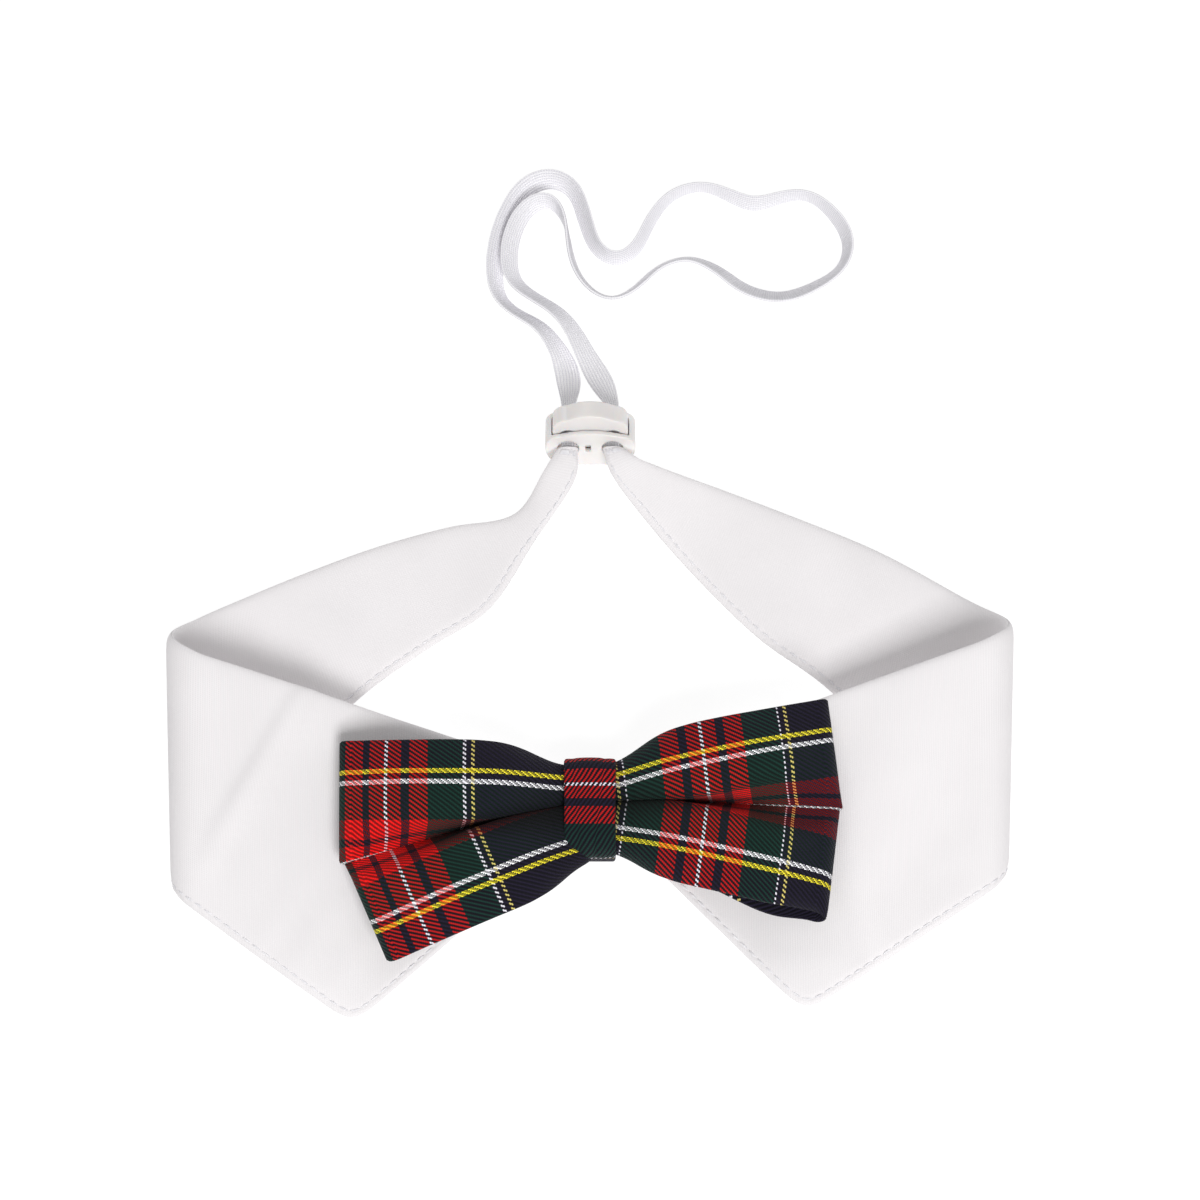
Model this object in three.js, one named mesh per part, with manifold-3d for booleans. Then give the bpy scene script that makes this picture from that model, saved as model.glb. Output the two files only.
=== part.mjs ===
// A pre-tied tartan bow tie sewn to a white two-wing fabric collar, laid out flat: the back straps lie on the
// table, each half folds over at its side, and the two wings and the bow lie on top. A flat elastic runs from
// strap end to strap end through a sprung two-hole cord lock. Millimetres, +Z up, the table is z = 0.
import * as THREE from 'three';
import { mergeVertices } from 'three/addons/utils/BufferGeometryUtils.js';
import Module from 'manifold-3d';

const wasm = await Module();
wasm.setup();

// ---- Driving dimensions ----
const KNOT_Y = -19.7;             // the knot's centre in the model's own frame
const GAP = 0.3;                 // between pieces that touch

// Collar halves: three layers sewn together
const FABRIC = 0.5;              // outer cloth and lining, each
const INTERFACING = 0.8;         // stiff middle layer
const FOLD_X = 86;               // where each half starts to fold over, from the centre
const FOLD_R_NECK = 7.6;         // fold radius at the neck edge
const FOLD_R_LOWER = 5;          // fold radius at the lower edge
const TIP_DROOP = 6;             // how far a wing tip hangs below its panel
const SEAM_ALLOWANCE = 2.5;      // the interfacing stops this far inside the sewn edges
const LINING_INSET = 0.4;
const STITCH_INSET = 1.5;        // topstitching, in from the lower and front edges
const STITCH = 0.4;              // thread thickness

// Bow and knot
const BOW_HALF_LENGTH = 53.5;
const BOW_HEIGHT = 50;           // ribbon width at the bow's ends
const BOW_CLOTH = 1;
const BOW_PUFF = 23;             // how high the front of the bow stands
const BOW_OVER_COLLAR = 0.5;     // under the bow's ends
const LEFT_LOBE_TURN = 10.8;     // degrees, the left lobe hangs
const INTERLINING = 0.4;
const KNOT_WIDTH = 11.3;
const KNOT_HEIGHT = 22.6;
const KNOT_BAND = 1.2;           // cloth thickness of the knot band
const KNOT_BOTTOM = 1.1;         // its underside above the table
const GATHER_THREAD = 0.8;       // thread that draws the bow in under the knot
const PINCH = 6;                 // height of the drawn-in bow, cloth centre to cloth centre

// Elastic
const ELASTIC_WIDTH = 6.4;
const ELASTIC = 0.8;             // thickness
const ELASTIC_SQUEEZED = 3;      // its width where it runs through the lock
const STRAP_END = 4.4;           // width of a strap's end, where it meets the lock
const TAIL_SHARE = 0.2;          // share of the strap that holds the sewn-in tail

// Cord lock, in its own frame: x across, y along the button, z along the holes
const LOCK_Y = 85.9;             // its centre, from the knot's centre
const LOCK_LIFT = 1.7;           // its lowest corner above the table
const LOCK_TILT = 66;            // degrees
const HOLE_X = 5;                // each hole's centre, from the middle
const STRAND_CLEARANCE = 0.35;   // round the elastic in its hole
const LOCK_BELOW = 6;            // body below the hole's centre
const LOCK_ABOVE = 4.6;          // body above it
const LOCK_FLOOR = 1;
const LOCK_WALL = 1.25;          // in front of the button and behind it
const LOCK_SIDE = 1.45;          // beside it
const LOCK_FRONT_GAP = 0.6;      // from the body to the strap ends
const BUTTON_DEPTH = 4.8;
const BUTTON_EDGE = 1.1;         // button outside each hole
const BUTTON_FLOOR = 0.9;        // and below it
const BUTTON_PROUD = 4.2;
const BUTTON_TRAVEL = 2;
const BUTTON_CLEARANCE = 0.25;
const SPRING_R = 1.9;            // to the wire's centre
const SPRING_WIRE = 0.35;
const SPRING_TURNS = 2.5;

// ---- Values worked out from them ----
const LAMINATE = 2 * FABRIC + INTERFACING + 2 * GAP;
const TABLE_MID = LAMINATE / 2;                                      // strap's middle above the table
const CENTRE_MID = KNOT_BOTTOM + KNOT_BAND + GAP + LAMINATE / 2;     // collar's middle under the knot
const PINCH_LOW = CENTRE_MID + LAMINATE / 2 + 2 * GAP + GATHER_THREAD + BOW_CLOTH / 2;
const PINCH_HIGH = PINCH_LOW + PINCH;
const KNOT_TOP = PINCH_HIGH + BOW_CLOTH / 2 + 2 * GAP + GATHER_THREAD + KNOT_BAND;
const PINCH_HALF = KNOT_HEIGHT / 2 - KNOT_BAND - 2 * GAP - GATHER_THREAD;
const KNOT_INSIDE = KNOT_HEIGHT / 2 - KNOT_BAND;
const STRAND_Y = BUTTON_TRAVEL / 2;                                  // the elastic's line in the lock
const HOLE_R = Math.hypot(ELASTIC_SQUEEZED / 2, STRAND_Y + ELASTIC / 2) + STRAND_CLEARANCE;
const BUTTON_WIDTH = 2 * (HOLE_X + HOLE_R + BUTTON_EDGE);
const BUTTON_FOOT = HOLE_R + BUTTON_FLOOR - BUTTON_TRAVEL;           // button below the holes' centre line
const LOCK_WIDTH = BUTTON_WIDTH + 2 * (BUTTON_CLEARANCE + LOCK_SIDE);
const LOCK_DEPTH = BUTTON_DEPTH + 2 * (BUTTON_CLEARANCE + LOCK_WALL);
const TILT = THREE.MathUtils.degToRad(LOCK_TILT);
const LOCK_Z = LOCK_LIFT + LOCK_BELOW * Math.sin(TILT) + LOCK_DEPTH / 2 * Math.cos(TILT);

const { lerp, smoothstep } = THREE.MathUtils;
const point = (x, y, z) => new THREE.Vector3(x, y, z);
const smoothMax = (a, b, soft) => (a + b + Math.hypot(a - b, soft)) / 2;

const COLOURS = {
  cloth: { color: 0xf1eeef, roughness: 0.9, metalness: 0 },
  stiffener: { color: 0xe6e6e3, roughness: 0.95, metalness: 0 },
  tartan: { color: 0x7c1220, roughness: 0.85, metalness: 0 },
  thread: { color: 0xf6f4f4, roughness: 0.7, metalness: 0 },
  elastic: { color: 0xe9e7ea, roughness: 0.8, metalness: 0 },
  plastic: { color: 0xf3efee, roughness: 0.35, metalness: 0 },
  steel: { color: 0xb4b6ba, roughness: 0.3, metalness: 1 },
};

function piece(name, geometry, finish) {
  const mesh = new THREE.Mesh(geometry, new THREE.MeshStandardMaterial(COLOURS[finish]));
  mesh.name = name;
  return mesh;
}

// Only positions, shared vertices merged, and faces turned to point out.
function closed(geometry) {
  geometry.deleteAttribute('normal');
  geometry.deleteAttribute('uv');
  const merged = mergeVertices(geometry, 1e-5);
  const p = merged.attributes.position;
  const index = merged.index.array;
  const a = new THREE.Vector3();
  const b = new THREE.Vector3();
  const c = new THREE.Vector3();
  let volume = 0;
  for (let i = 0; i < index.length; i += 3) {
    a.fromBufferAttribute(p, index[i]);
    b.fromBufferAttribute(p, index[i + 1]);
    c.fromBufferAttribute(p, index[i + 2]);
    volume += a.dot(b.cross(c));
  }
  if (volume < 0) {
    for (let i = 0; i < index.length; i += 3) {
      [index[i], index[i + 1]] = [index[i + 1], index[i]];
    }
  }
  merged.computeVertexNormals();
  return merged;
}

// A sheet with a thickness: at(u, v) is its middle, with u and v from 0 to 1, and low and high are the two
// faces' distances from the middle along the sheet's normal.
function sheet(at, uSteps, vSteps, low, high) {
  const geometry = new THREE.BoxGeometry(1, 1, 1, uSteps, vSteps, 1);
  const p = geometry.attributes.position;
  const e = 1e-4;
  for (let i = 0; i < p.count; i++) {
    const u = p.getX(i) + 0.5;
    const v = p.getY(i) + 0.5;
    const w = p.getZ(i) + 0.5;
    const du = at(Math.min(u + e, 1), v).sub(at(Math.max(u - e, 0), v));
    const dv = at(u, Math.min(v + e, 1)).sub(at(u, Math.max(v - e, 0)));
    const q = at(u, v).addScaledVector(du.cross(dv).normalize(), lerp(low, high, w));
    p.setXYZ(i, q.x, q.y, q.z);
  }
  return closed(geometry);
}

// A closed band: at(a, v) is its middle, with a going once round from 0 to 1.
function band(at, aSteps, vSteps, low, high) {
  const positions = [];
  const index = [];
  const e = 1e-4;
  const row = 2 * (vSteps + 1);
  for (let i = 0; i < aSteps; i++) {
    const a = i / aSteps;
    for (let side = 0; side < 2; side++) {
      for (let j = 0; j <= vSteps; j++) {
        const v = (side ? vSteps - j : j) / vSteps;
        const da = at((a + e) % 1, v).sub(at((a - e + 1) % 1, v));
        const dv = at(a, Math.min(v + e, 1)).sub(at(a, Math.max(v - e, 0)));
        const q = at(a, v).addScaledVector(da.cross(dv).normalize(), side ? high : low);
        positions.push(q.x, q.y, q.z);
      }
    }
  }
  for (let i = 0; i < aSteps; i++) {
    for (let k = 0; k < row; k++) {
      const here = i * row + k;
      const next = i * row + (k + 1) % row;
      const across = ((i + 1) % aSteps) * row;
      index.push(here, next, across + (k + 1) % row);
      index.push(here, across + (k + 1) % row, across + k);
    }
  }
  const geometry = new THREE.BufferGeometry();
  geometry.setAttribute('position', new THREE.Float32BufferAttribute(positions, 3));
  geometry.setIndex(index);
  return closed(geometry);
}

// A rectangle across x = 0 with round corners.
function roundedRectangle(halfWidth, low, high, lowRadius, highRadius) {
  const shape = new THREE.Shape();
  shape.moveTo(-halfWidth + lowRadius, low);
  shape.lineTo(halfWidth - lowRadius, low);
  shape.absarc(halfWidth - lowRadius, low + lowRadius, lowRadius, -Math.PI / 2, 0, false);
  shape.lineTo(halfWidth, high - highRadius);
  shape.absarc(halfWidth - highRadius, high - highRadius, highRadius, 0, Math.PI / 2, false);
  shape.lineTo(-halfWidth + highRadius, high);
  shape.absarc(-halfWidth + highRadius, high - highRadius, highRadius, Math.PI / 2, Math.PI, false);
  shape.lineTo(-halfWidth, low + lowRadius);
  shape.absarc(-halfWidth + lowRadius, low + lowRadius, lowRadius, Math.PI, 1.5 * Math.PI, false);
  return shape;
}

// ---- Collar halves ----
// Plan values are for a half that runs towards +X, from the knot's centre. neck, front and lower are straight
// edges: neck as [clearance inside the knot band's edge, slope], front and lower as [y at x = 0, slope]. The
// back edges are matching stations along the strap, as [x, y, height above the table]. Both end at the lock.
const HALVES = {
  left: {
    mirror: -1,
    neck: [0.95, 0.31],
    front: [-0.5, -0.87],
    lower: [-82, 0.706],
    backNeck: [[86, 46.4, 0], [66, 55, 0], [48, 61.8, 0], [32, 66.2, 0.5], [17, 68.6, 3.5],
      [10.3, 77.2, 10.4]],
    backLower: [[86, -10, 0], [53, 25.8, 0], [36, 38.5, 0], [23, 47, 0.5], [12.5, 62.5, 3.5],
      [3.2, 75.5, 10.4]],
  },
  right: {
    mirror: 1,
    neck: [0.68, 0.34],
    front: [3, -0.98],
    lower: [-72.6, 0.636],
    backNeck: [[86, 49, 0], [66, 60.3, 0], [48, 68, 0], [31, 74.5, 0.8], [19.5, 77.6, 5.5],
      [11, 79.6, 10.8]],
    backLower: [[86, -7, 0], [54, 28.5, 0], [38, 40.5, 0], [22.5, 56, 0.8], [11, 68.6, 5.5],
      [4.6, 76.4, 10.8]],
  },
};
const CENTRE_SEAM = 0.3;           // half the gap between the two halves at the centre
const TIP_ROUND = 5;               // softness of the wing tip's corner

function frontEdges(half, x) {
  const neck = KNOT_INSIDE - half.neck[0] + half.neck[1] * (x - KNOT_WIDTH / 2);
  const front = half.front[0] + half.front[1] * x;
  const lower = half.lower[0] + half.lower[1] * x;
  return [neck, smoothMax(front, lower, TIP_ROUND)];
}

// How high a panel's middle lies: it climbs from the knot to the top of its fold.
function panelMiddle(x, foldRadius) {
  return lerp(CENTRE_MID, TABLE_MID + 2 * foldRadius, smoothstep(x, 0, FOLD_X));
}

function frontPoint(half, share, v) {
  const x = lerp(CENTRE_SEAM, FOLD_X, share);
  const [neck, low] = frontEdges(half, x);
  const y = lerp(neck, low, v);
  const [neckAtFold, lowAtFold] = frontEdges(half, FOLD_X);
  const down = THREE.MathUtils.clamp((neckAtFold - y) / (neckAtFold - lowAtFold), 0, 1);
  const rise = panelMiddle(x, lerp(FOLD_R_NECK, FOLD_R_LOWER, down));
  const droop = TIP_DROOP * Math.max(0, (-y - 8) / 37) ** 1.5 * (1 - smoothstep(x, 52, FOLD_X));
  return point(x, y, rise - droop);
}

function backEdges(half) {
  const [, lockY, lockZ] = lockLine(HOLE_X, LOCK_DEPTH / 2 + LOCK_FRONT_GAP);
  const curve = (stations, side) => {
    const points = stations.map(([x, y, h], i) => point(i === 0 ? FOLD_X : x, y, TABLE_MID + h));
    return new THREE.CatmullRomCurve3([...points, point(HOLE_X + side * STRAP_END / 2, lockY, lockZ)]);
  };
  return [curve(half.backNeck, 1), curve(half.backLower, -1)];
}

function foldPoint(half, share, v) {
  const angle = Math.PI * share;
  const [neck, low] = frontEdges(half, FOLD_X);
  const edge = (from, to, r) => point(
    FOLD_X + r * Math.sin(angle), lerp(from, to, share), TABLE_MID + r * (1 + Math.cos(angle)));
  const a = edge(neck, half.backNeck[0][1], FOLD_R_NECK);
  const b = edge(low, half.backLower[0][1], FOLD_R_LOWER);
  return a.lerp(b, v);
}

// The half's middle surface: the first third of u is the wing, the next the fold and the last the strap.
const ZONES = [16, 8, 14];
const U_STEPS = ZONES[0] + ZONES[1] + ZONES[2];

function halfSurface(half) {
  const [neckCurve, lowerCurve] = backEdges(half);
  return (u, v) => {
    const step = u * U_STEPS;
    let q;
    if (step <= ZONES[0]) q = frontPoint(half, step / ZONES[0], v);
    else if (step <= ZONES[0] + ZONES[1]) q = foldPoint(half, (step - ZONES[0]) / ZONES[1], v);
    else {
      const share = (step - ZONES[0] - ZONES[1]) / ZONES[2];
      q = neckCurve.getPoint(share).lerp(lowerCurve.getPoint(share), v);
      q.z = Math.max(q.z, TABLE_MID);
    }
    q.x *= half.mirror;
    return q;
  };
}

// The same surface, less a margin in mm inside the lower edge, and ending at a share of its length.
function insetSurface(surface, margin, uEnd = 1, neckMargin = 0) {
  return (u, v) => {
    const s = u * uEnd;
    const a = surface(s, 0);
    const b = surface(s, 1);
    const width = a.distanceTo(b);
    const from = Math.min(neckMargin / width, 0.3);
    const to = 1 - Math.min(margin / width, 0.3);
    return surface(s, lerp(from, to, v));
  };
}

const OUT = INTERFACING / 2 + GAP;              // a cloth layer's near face, from the middle

function collarHalf(name, half) {
  const whole = halfSurface(half);
  const side = half.mirror;                     // the outer cloth is on the normal's minus side for +X
  const layer = (low, high) => (side > 0 ? [-high, -low] : [low, high]);
  const strapWithoutTail = 1 - TAIL_SHARE * ZONES[2] / U_STEPS;
  const pieces = [];
  const add = (label, surface, steps, [low, high], finish) => {
    pieces.push(piece(`collar_${name}_${label}`, sheet(surface, steps, 4, low, high), finish));
  };
  add('outer', whole, U_STEPS, layer(OUT, OUT + FABRIC), 'cloth');
  add('lining', insetSurface(whole, LINING_INSET), U_STEPS, layer(-OUT - FABRIC, -OUT), 'cloth');
  const core = insetSurface(whole, SEAM_ALLOWANCE, strapWithoutTail, 0.5);
  add('interfacing', core, U_STEPS, layer(-INTERFACING / 2, INTERFACING / 2), 'stiffener');
  return pieces;
}

// Topstitching just inside the lower edge, between two of the half's stations. It shows on the outer cloth of
// the wing and on the lining of the strap.
function topstitch(name, half, part, first, last, onOuter) {
  const whole = halfSurface(half);
  const line = (u, v) => {
    const s = lerp(first, last, u) / U_STEPS;
    const width = whole(s, 0).distanceTo(whole(s, 1));
    return whole(s, 1 - (STITCH_INSET - STITCH * (v - 0.5)) / width);
  };
  const near = OUT + FABRIC + GAP;
  const faces = (half.mirror > 0) === onOuter ? [-near - STITCH, -near] : [near, near + STITCH];
  return piece(`topstitch_${name}_${part}`, sheet(line, last - first, 1, faces[0], faces[1]), 'thread');
}

// The strap's closing stitches, across its end on the lining.
function bartack(name, half) {
  const whole = halfSurface(half);
  const across = (u, v) => whole(lerp(0.966, 0.976, u), lerp(0.2, 0.8, v));
  const near = OUT + FABRIC + GAP;
  const faces = half.mirror > 0 ? [near, near + STITCH] : [-near - STITCH, -near];
  return piece(`bartack_${name}`, sheet(across, 2, 4, faces[0], faces[1]), 'thread');
}

// ---- Elastic ----
// A flat strip along rows of [x, y, z, tilt, width]: tilt 0 lies flat and 90 stands on edge, in degrees.
function strip(rows, steps, thickness) {
  const path = new THREE.CatmullRomCurve3(rows.map(([x, y, z]) => point(x, y, z)), false, 'centripetal');
  const shape = new THREE.CatmullRomCurve3(rows.map(([, , , tilt, width]) => point(tilt, width, 0)),
    false, 'catmullrom', 0.5);
  const at = (u, v) => {
    const centre = path.getPoint(u);
    const ahead = path.getTangent(u);
    const across = point(-ahead.y, ahead.x, 0).normalize();
    const tilt = THREE.MathUtils.degToRad(shape.getPoint(u).x);
    const up = ahead.clone().cross(across).normalize();
    const width = shape.getPoint(u).y;
    const reach = width * (v - 0.5);
    return centre.addScaledVector(across, reach * Math.cos(tilt)).addScaledVector(up, reach * Math.sin(tilt));
  };
  return sheet(at, steps, 1, -thickness / 2, thickness / 2);
}

// Where the elastic's line passes the lock, at a distance in front of the lock's middle.
function lockLine(x, ahead) {
  return [
    x,
    LOCK_Y + STRAND_Y * Math.cos(TILT) - ahead * Math.sin(TILT),
    LOCK_Z + STRAND_Y * Math.sin(TILT) + ahead * Math.cos(TILT),
    0,
    ELASTIC_SQUEEZED,
  ];
}

// The free elastic between the two sides of the lock, from its left hole round to its right hole, as
// [x, y, z, tilt], chosen by hand as it lies on the table. Its width is still drawn in at both ends.
const FREE_ROUTE = [
  [-4.9, 98.6, 4.5, 8], [-5.4, 103.2, 2.8, 26], [-7.9, 108.8, 2.9, 46],
  [-11.8, 113.8, 3, 55], [-17.2, 116.8, 3.1, 60], [-21.2, 120.6, 3.1, 60],
  [-22.3, 127, 3, 54], [-21.4, 134.5, 3, 52], [-19, 141.5, 3, 54],
  [-15.4, 147.2, 3.1, 58], [-9.8, 149.8, 3.2, 64], [-4.2, 147.3, 3.3, 66],
  [-1.2, 139.5, 3.3, 62], [1.3, 132.6, 3.3, 72], [5.9, 129.6, 3.4, 84],
  [10.6, 132.5, 3.3, 74], [14, 139.3, 3.3, 76], [18.7, 145.3, 3.4, 86],
  [26, 147.7, 3.4, 95], [32.3, 145.5, 3.4, 84], [38, 143.2, 3.3, 78],
  [44.2, 144.9, 3.4, 84], [50.4, 145.6, 3.4, 94], [56.3, 141.2, 3.4, 82],
  [60, 134.6, 3.3, 74], [58.6, 128.2, 3.4, 70], [52, 123.2, 3.3, 58],
  [44, 120.5, 3.3, 53], [35.7, 122.5, 3.3, 53], [29.2, 127.4, 3.3, 58],
  [22.6, 130, 3.4, 66], [15.8, 127.8, 3.4, 70], [10.3, 122.6, 3.4, 70],
  [5, 120, 3.4, 70], [0, 122.4, 3.3, 72], [-3.7, 127.8, 3.3, 76],
  [-5.1, 134, 3.4, 82], [-6.3, 140.4, 3.4, 92], [-9.9, 144.6, 3.4, 104],
  [-14.6, 142.6, 3.2, 114], [-17.8, 137.2, 3.1, 122], [-19, 130.8, 3, 126],
  [-17.8, 124.6, 3, 126], [-12.9, 120.6, 3, 122], [-7.6, 117.2, 3, 126],
  [-3.8, 112.4, 2.9, 132], [-1.4, 107.4, 2.9, 140], [1.1, 102.8, 2.7, 156],
  [3.1, 98.6, 4.5, 172],
];
const LOCK_RUN = 4.5;              // straight elastic behind the lock, for it to slide along

function elasticCord() {
  const ahead = LOCK_DEPTH / 2 + LOCK_FRONT_GAP;
  const behind = -LOCK_DEPTH / 2 - LOCK_RUN;
  const halfOpen = (ELASTIC_WIDTH + ELASTIC_SQUEEZED) / 2;
  const free = FREE_ROUTE.map((row, i) => [
    ...row, i === 0 || i === FREE_ROUTE.length - 1 ? halfOpen : ELASTIC_WIDTH]);
  const passage = (x) => [lockLine(x, ahead), lockLine(x, 0), lockLine(x, -LOCK_DEPTH / 2),
    lockLine(x, behind)];
  const turnedOver = ([x, y, z, , width]) => [x, y, z, 180, width];
  const rows = [...passage(-HOLE_X), ...free, ...passage(HOLE_X).reverse().map(turnedOver)];
  return piece('elastic_cord', strip(rows, 80, ELASTIC), 'elastic');
}

// The elastic's sewn-in end, between the strap's outer cloth and its lining.
function elasticTail(name, half) {
  const whole = halfSurface(half);
  const start = 1 - (TAIL_SHARE * 0.9) * ZONES[2] / U_STEPS;
  const at = (u, v) => {
    const s = lerp(start, 0.998, u);
    const across = ELASTIC_SQUEEZED / whole(s, 0).distanceTo(whole(s, 1));
    return whole(s, 0.5 + (v - 0.5) * across);
  };
  return piece(`elastic_tail_${name}`, sheet(at, 6, 1, -ELASTIC / 2, ELASTIC / 2), 'elastic');
}

// ---- Bow ----
const PINCH_END = KNOT_WIDTH / 2 + 2 * GAP;      // the bow opens out from here

// Half the ribbon's width at a distance from the knot, drawn in by the gather thread.
function bowHalfHeight(x) {
  const open = Math.max(0, Math.abs(x) - PINCH_END) / (BOW_HALF_LENGTH - PINCH_END);
  return PINCH_HALF + (BOW_HEIGHT / 2 - PINCH_HALF) * open ** 0.65;
}

// The back of the bow, a distance above the collar it lies on.
function overCollar(x, distance) {
  return panelMiddle(x, FOLD_R_NECK) + LAMINATE / 2 + BOW_OVER_COLLAR + BOW_CLOTH / 2 + distance;
}

// One lobe's side view, as [x, z] from the knot's front round to its back.
const BOW_NEAR_END = 0.93 * BOW_HALF_LENGTH;
const BOW_FRONT_DROP = 2.6;
const BOW_SIDE = [
  [0, PINCH_HIGH],
  [PINCH_END, PINCH_HIGH],
  [0.27 * BOW_HALF_LENGTH, BOW_PUFF - 4],
  [0.48 * BOW_HALF_LENGTH, BOW_PUFF - 0.6],
  [0.72 * BOW_HALF_LENGTH, BOW_PUFF],
  [BOW_NEAR_END, BOW_PUFF - BOW_FRONT_DROP],
  [BOW_HALF_LENGTH, (BOW_PUFF - BOW_FRONT_DROP + overCollar(BOW_NEAR_END, 0)) / 2],
  [BOW_NEAR_END, overCollar(BOW_NEAR_END, 0)],
  [0.72 * BOW_HALF_LENGTH, overCollar(0.72 * BOW_HALF_LENGTH, 1.3)],
  [0.42 * BOW_HALF_LENGTH, overCollar(0.42 * BOW_HALF_LENGTH, 1.4)],
  [PINCH_END, PINCH_LOW],
];

function bowLine() {
  const right = BOW_SIDE.map(([x, z]) => point(x, 0, z));
  const left = BOW_SIDE.slice(1).map(([x, z]) => point(-x, 0, z)).reverse();
  return new THREE.CatmullRomCurve3([...right, point(0, 0, PINCH_LOW), ...left], true, 'centripetal');
}

function bowSurface(margin) {
  const line = bowLine();
  return (a, v) => {
    const q = line.getPoint(a);
    const y = (bowHalfHeight(q.x) - margin) * (2 * v - 1);
    const turn = THREE.MathUtils.degToRad(LEFT_LOBE_TURN) * smoothstep(-q.x, 0, BOW_HALF_LENGTH / 2);
    return point(q.x * Math.cos(turn) - y * Math.sin(turn), q.x * Math.sin(turn) + y * Math.cos(turn), q.z);
  };
}

function bow() {
  const inside = BOW_CLOTH / 2 + GAP;
  return [
    piece('bow_loop', band(bowSurface(0), 44, 4, -BOW_CLOTH / 2, BOW_CLOTH / 2), 'tartan'),
    piece('bow_interlining', band(bowSurface(1), 44, 4, -inside - INTERLINING, -inside), 'stiffener'),
  ];
}

// A ring in the plane across the bow: a rectangle with round corners.
function ring(halfHeight, low, high, [lowRadius, highRadius], width, thickness) {
  const outline = roundedRectangle(halfHeight, low, high, lowRadius, highRadius).getPoints(3).slice(0, -1);
  const at = (a, v) => {
    const step = Math.floor(a * outline.length + 1e-9);
    const q = outline[step % outline.length].clone();
    q.lerp(outline[(step + 1) % outline.length], Math.max(0, a * outline.length - step));
    return point(width * (v - 0.5), q.x, q.y);
  };
  return band(at, outline.length, 2, -thickness / 2, thickness / 2);
}

function knot() {
  const middle = KNOT_BAND / 2;
  const inner = GATHER_THREAD / 2 + GAP;
  return [
    piece('knot_band', ring(KNOT_HEIGHT / 2 - middle, KNOT_BOTTOM + middle, KNOT_TOP - middle, [1.6, 2.4],
      KNOT_WIDTH, KNOT_BAND), 'tartan'),
    piece('gather_thread', ring(PINCH_HALF + inner, PINCH_LOW - BOW_CLOTH / 2 - inner,
      PINCH_HIGH + BOW_CLOTH / 2 + inner, [0.8, 0.8], 2 * GATHER_THREAD, GATHER_THREAD), 'thread'),
  ];
}

// ---- Cord lock ----
const solid = (geometry) => {
  const g = closed(geometry);
  return new wasm.Manifold(new wasm.Mesh({
    numProp: 3, vertProperties: g.attributes.position.array, triVerts: new Uint32Array(g.index.array),
  }));
};

function asGeometry(manifold) {
  const mesh = manifold.getMesh();
  const geometry = new THREE.BufferGeometry();
  geometry.setAttribute('position', new THREE.Float32BufferAttribute(mesh.vertProperties, 3));
  geometry.setIndex([...mesh.triVerts]);
  geometry.computeVertexNormals();
  return geometry;
}

// A shape drawn in x and y, pushed out along z and centred, with its edges rounded off.
function slab(shape, depth, round) {
  const geometry = new THREE.ExtrudeGeometry(shape, {
    depth: depth - 2 * round, bevelEnabled: round > 0, bevelThickness: round, bevelSize: round,
    bevelOffset: -round, bevelSegments: 2, curveSegments: 5,
  });
  return geometry.translate(0, 0, -depth / 2 + round);
}

const holeCutter = (x, y) => solid(
  new THREE.CylinderGeometry(HOLE_R, HOLE_R, 2 * LOCK_DEPTH, 24).rotateX(Math.PI / 2).translate(x, y, 0));

function lockBody() {
  const shell = solid(slab(roundedRectangle(LOCK_WIDTH / 2, -LOCK_BELOW, LOCK_ABOVE, 4.5, 2), LOCK_DEPTH, 1.2));
  const cavityFloor = -LOCK_BELOW + LOCK_FLOOR;
  const cavityHeight = LOCK_ABOVE - cavityFloor + 1;
  const cavity = solid(new THREE.BoxGeometry(
    BUTTON_WIDTH + 2 * BUTTON_CLEARANCE, cavityHeight, BUTTON_DEPTH + 2 * BUTTON_CLEARANCE)
    .translate(0, cavityFloor + cavityHeight / 2, 0));
  const window = solid(new THREE.BoxGeometry(1.2, 2, LOCK_DEPTH).translate(0, 0, LOCK_DEPTH / 2));
  const cut = shell.subtract(cavity).subtract(holeCutter(-HOLE_X, 0)).subtract(holeCutter(HOLE_X, 0));
  return piece('lock_body', asGeometry(cut.subtract(window)), 'plastic');
}

function lockButton() {
  const shape = roundedRectangle(BUTTON_WIDTH / 2, -BUTTON_FOOT, LOCK_ABOVE + BUTTON_PROUD, 0.8, 2.2);
  const block = solid(slab(shape, BUTTON_DEPTH, 0.6));
  const cut = block.subtract(holeCutter(-HOLE_X, BUTTON_TRAVEL)).subtract(holeCutter(HOLE_X, BUTTON_TRAVEL));
  return piece('lock_button', asGeometry(cut), 'plastic');
}

class Helix extends THREE.Curve {
  constructor(radius, low, high, turns) {
    super();
    Object.assign(this, { radius, low, high, turns });
  }

  getPoint(t, target = new THREE.Vector3()) {
    const angle = 2 * Math.PI * this.turns * t;
    return target.set(this.radius * Math.cos(angle), lerp(this.low, this.high, t), this.radius * Math.sin(angle));
  }
}

function lockSpring() {
  const wire = new THREE.Shape();
  wire.absarc(0, 0, SPRING_WIRE / 2, 0, 2 * Math.PI, false);
  const seat = SPRING_WIRE / 2 + GAP;
  const path = new Helix(SPRING_R, -LOCK_BELOW + LOCK_FLOOR + seat, -BUTTON_FOOT - seat, SPRING_TURNS);
  const geometry = new THREE.ExtrudeGeometry(wire, { extrudePath: path, steps: 40, curveSegments: 6 });
  return piece('lock_spring', closed(geometry), 'steel');
}

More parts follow.
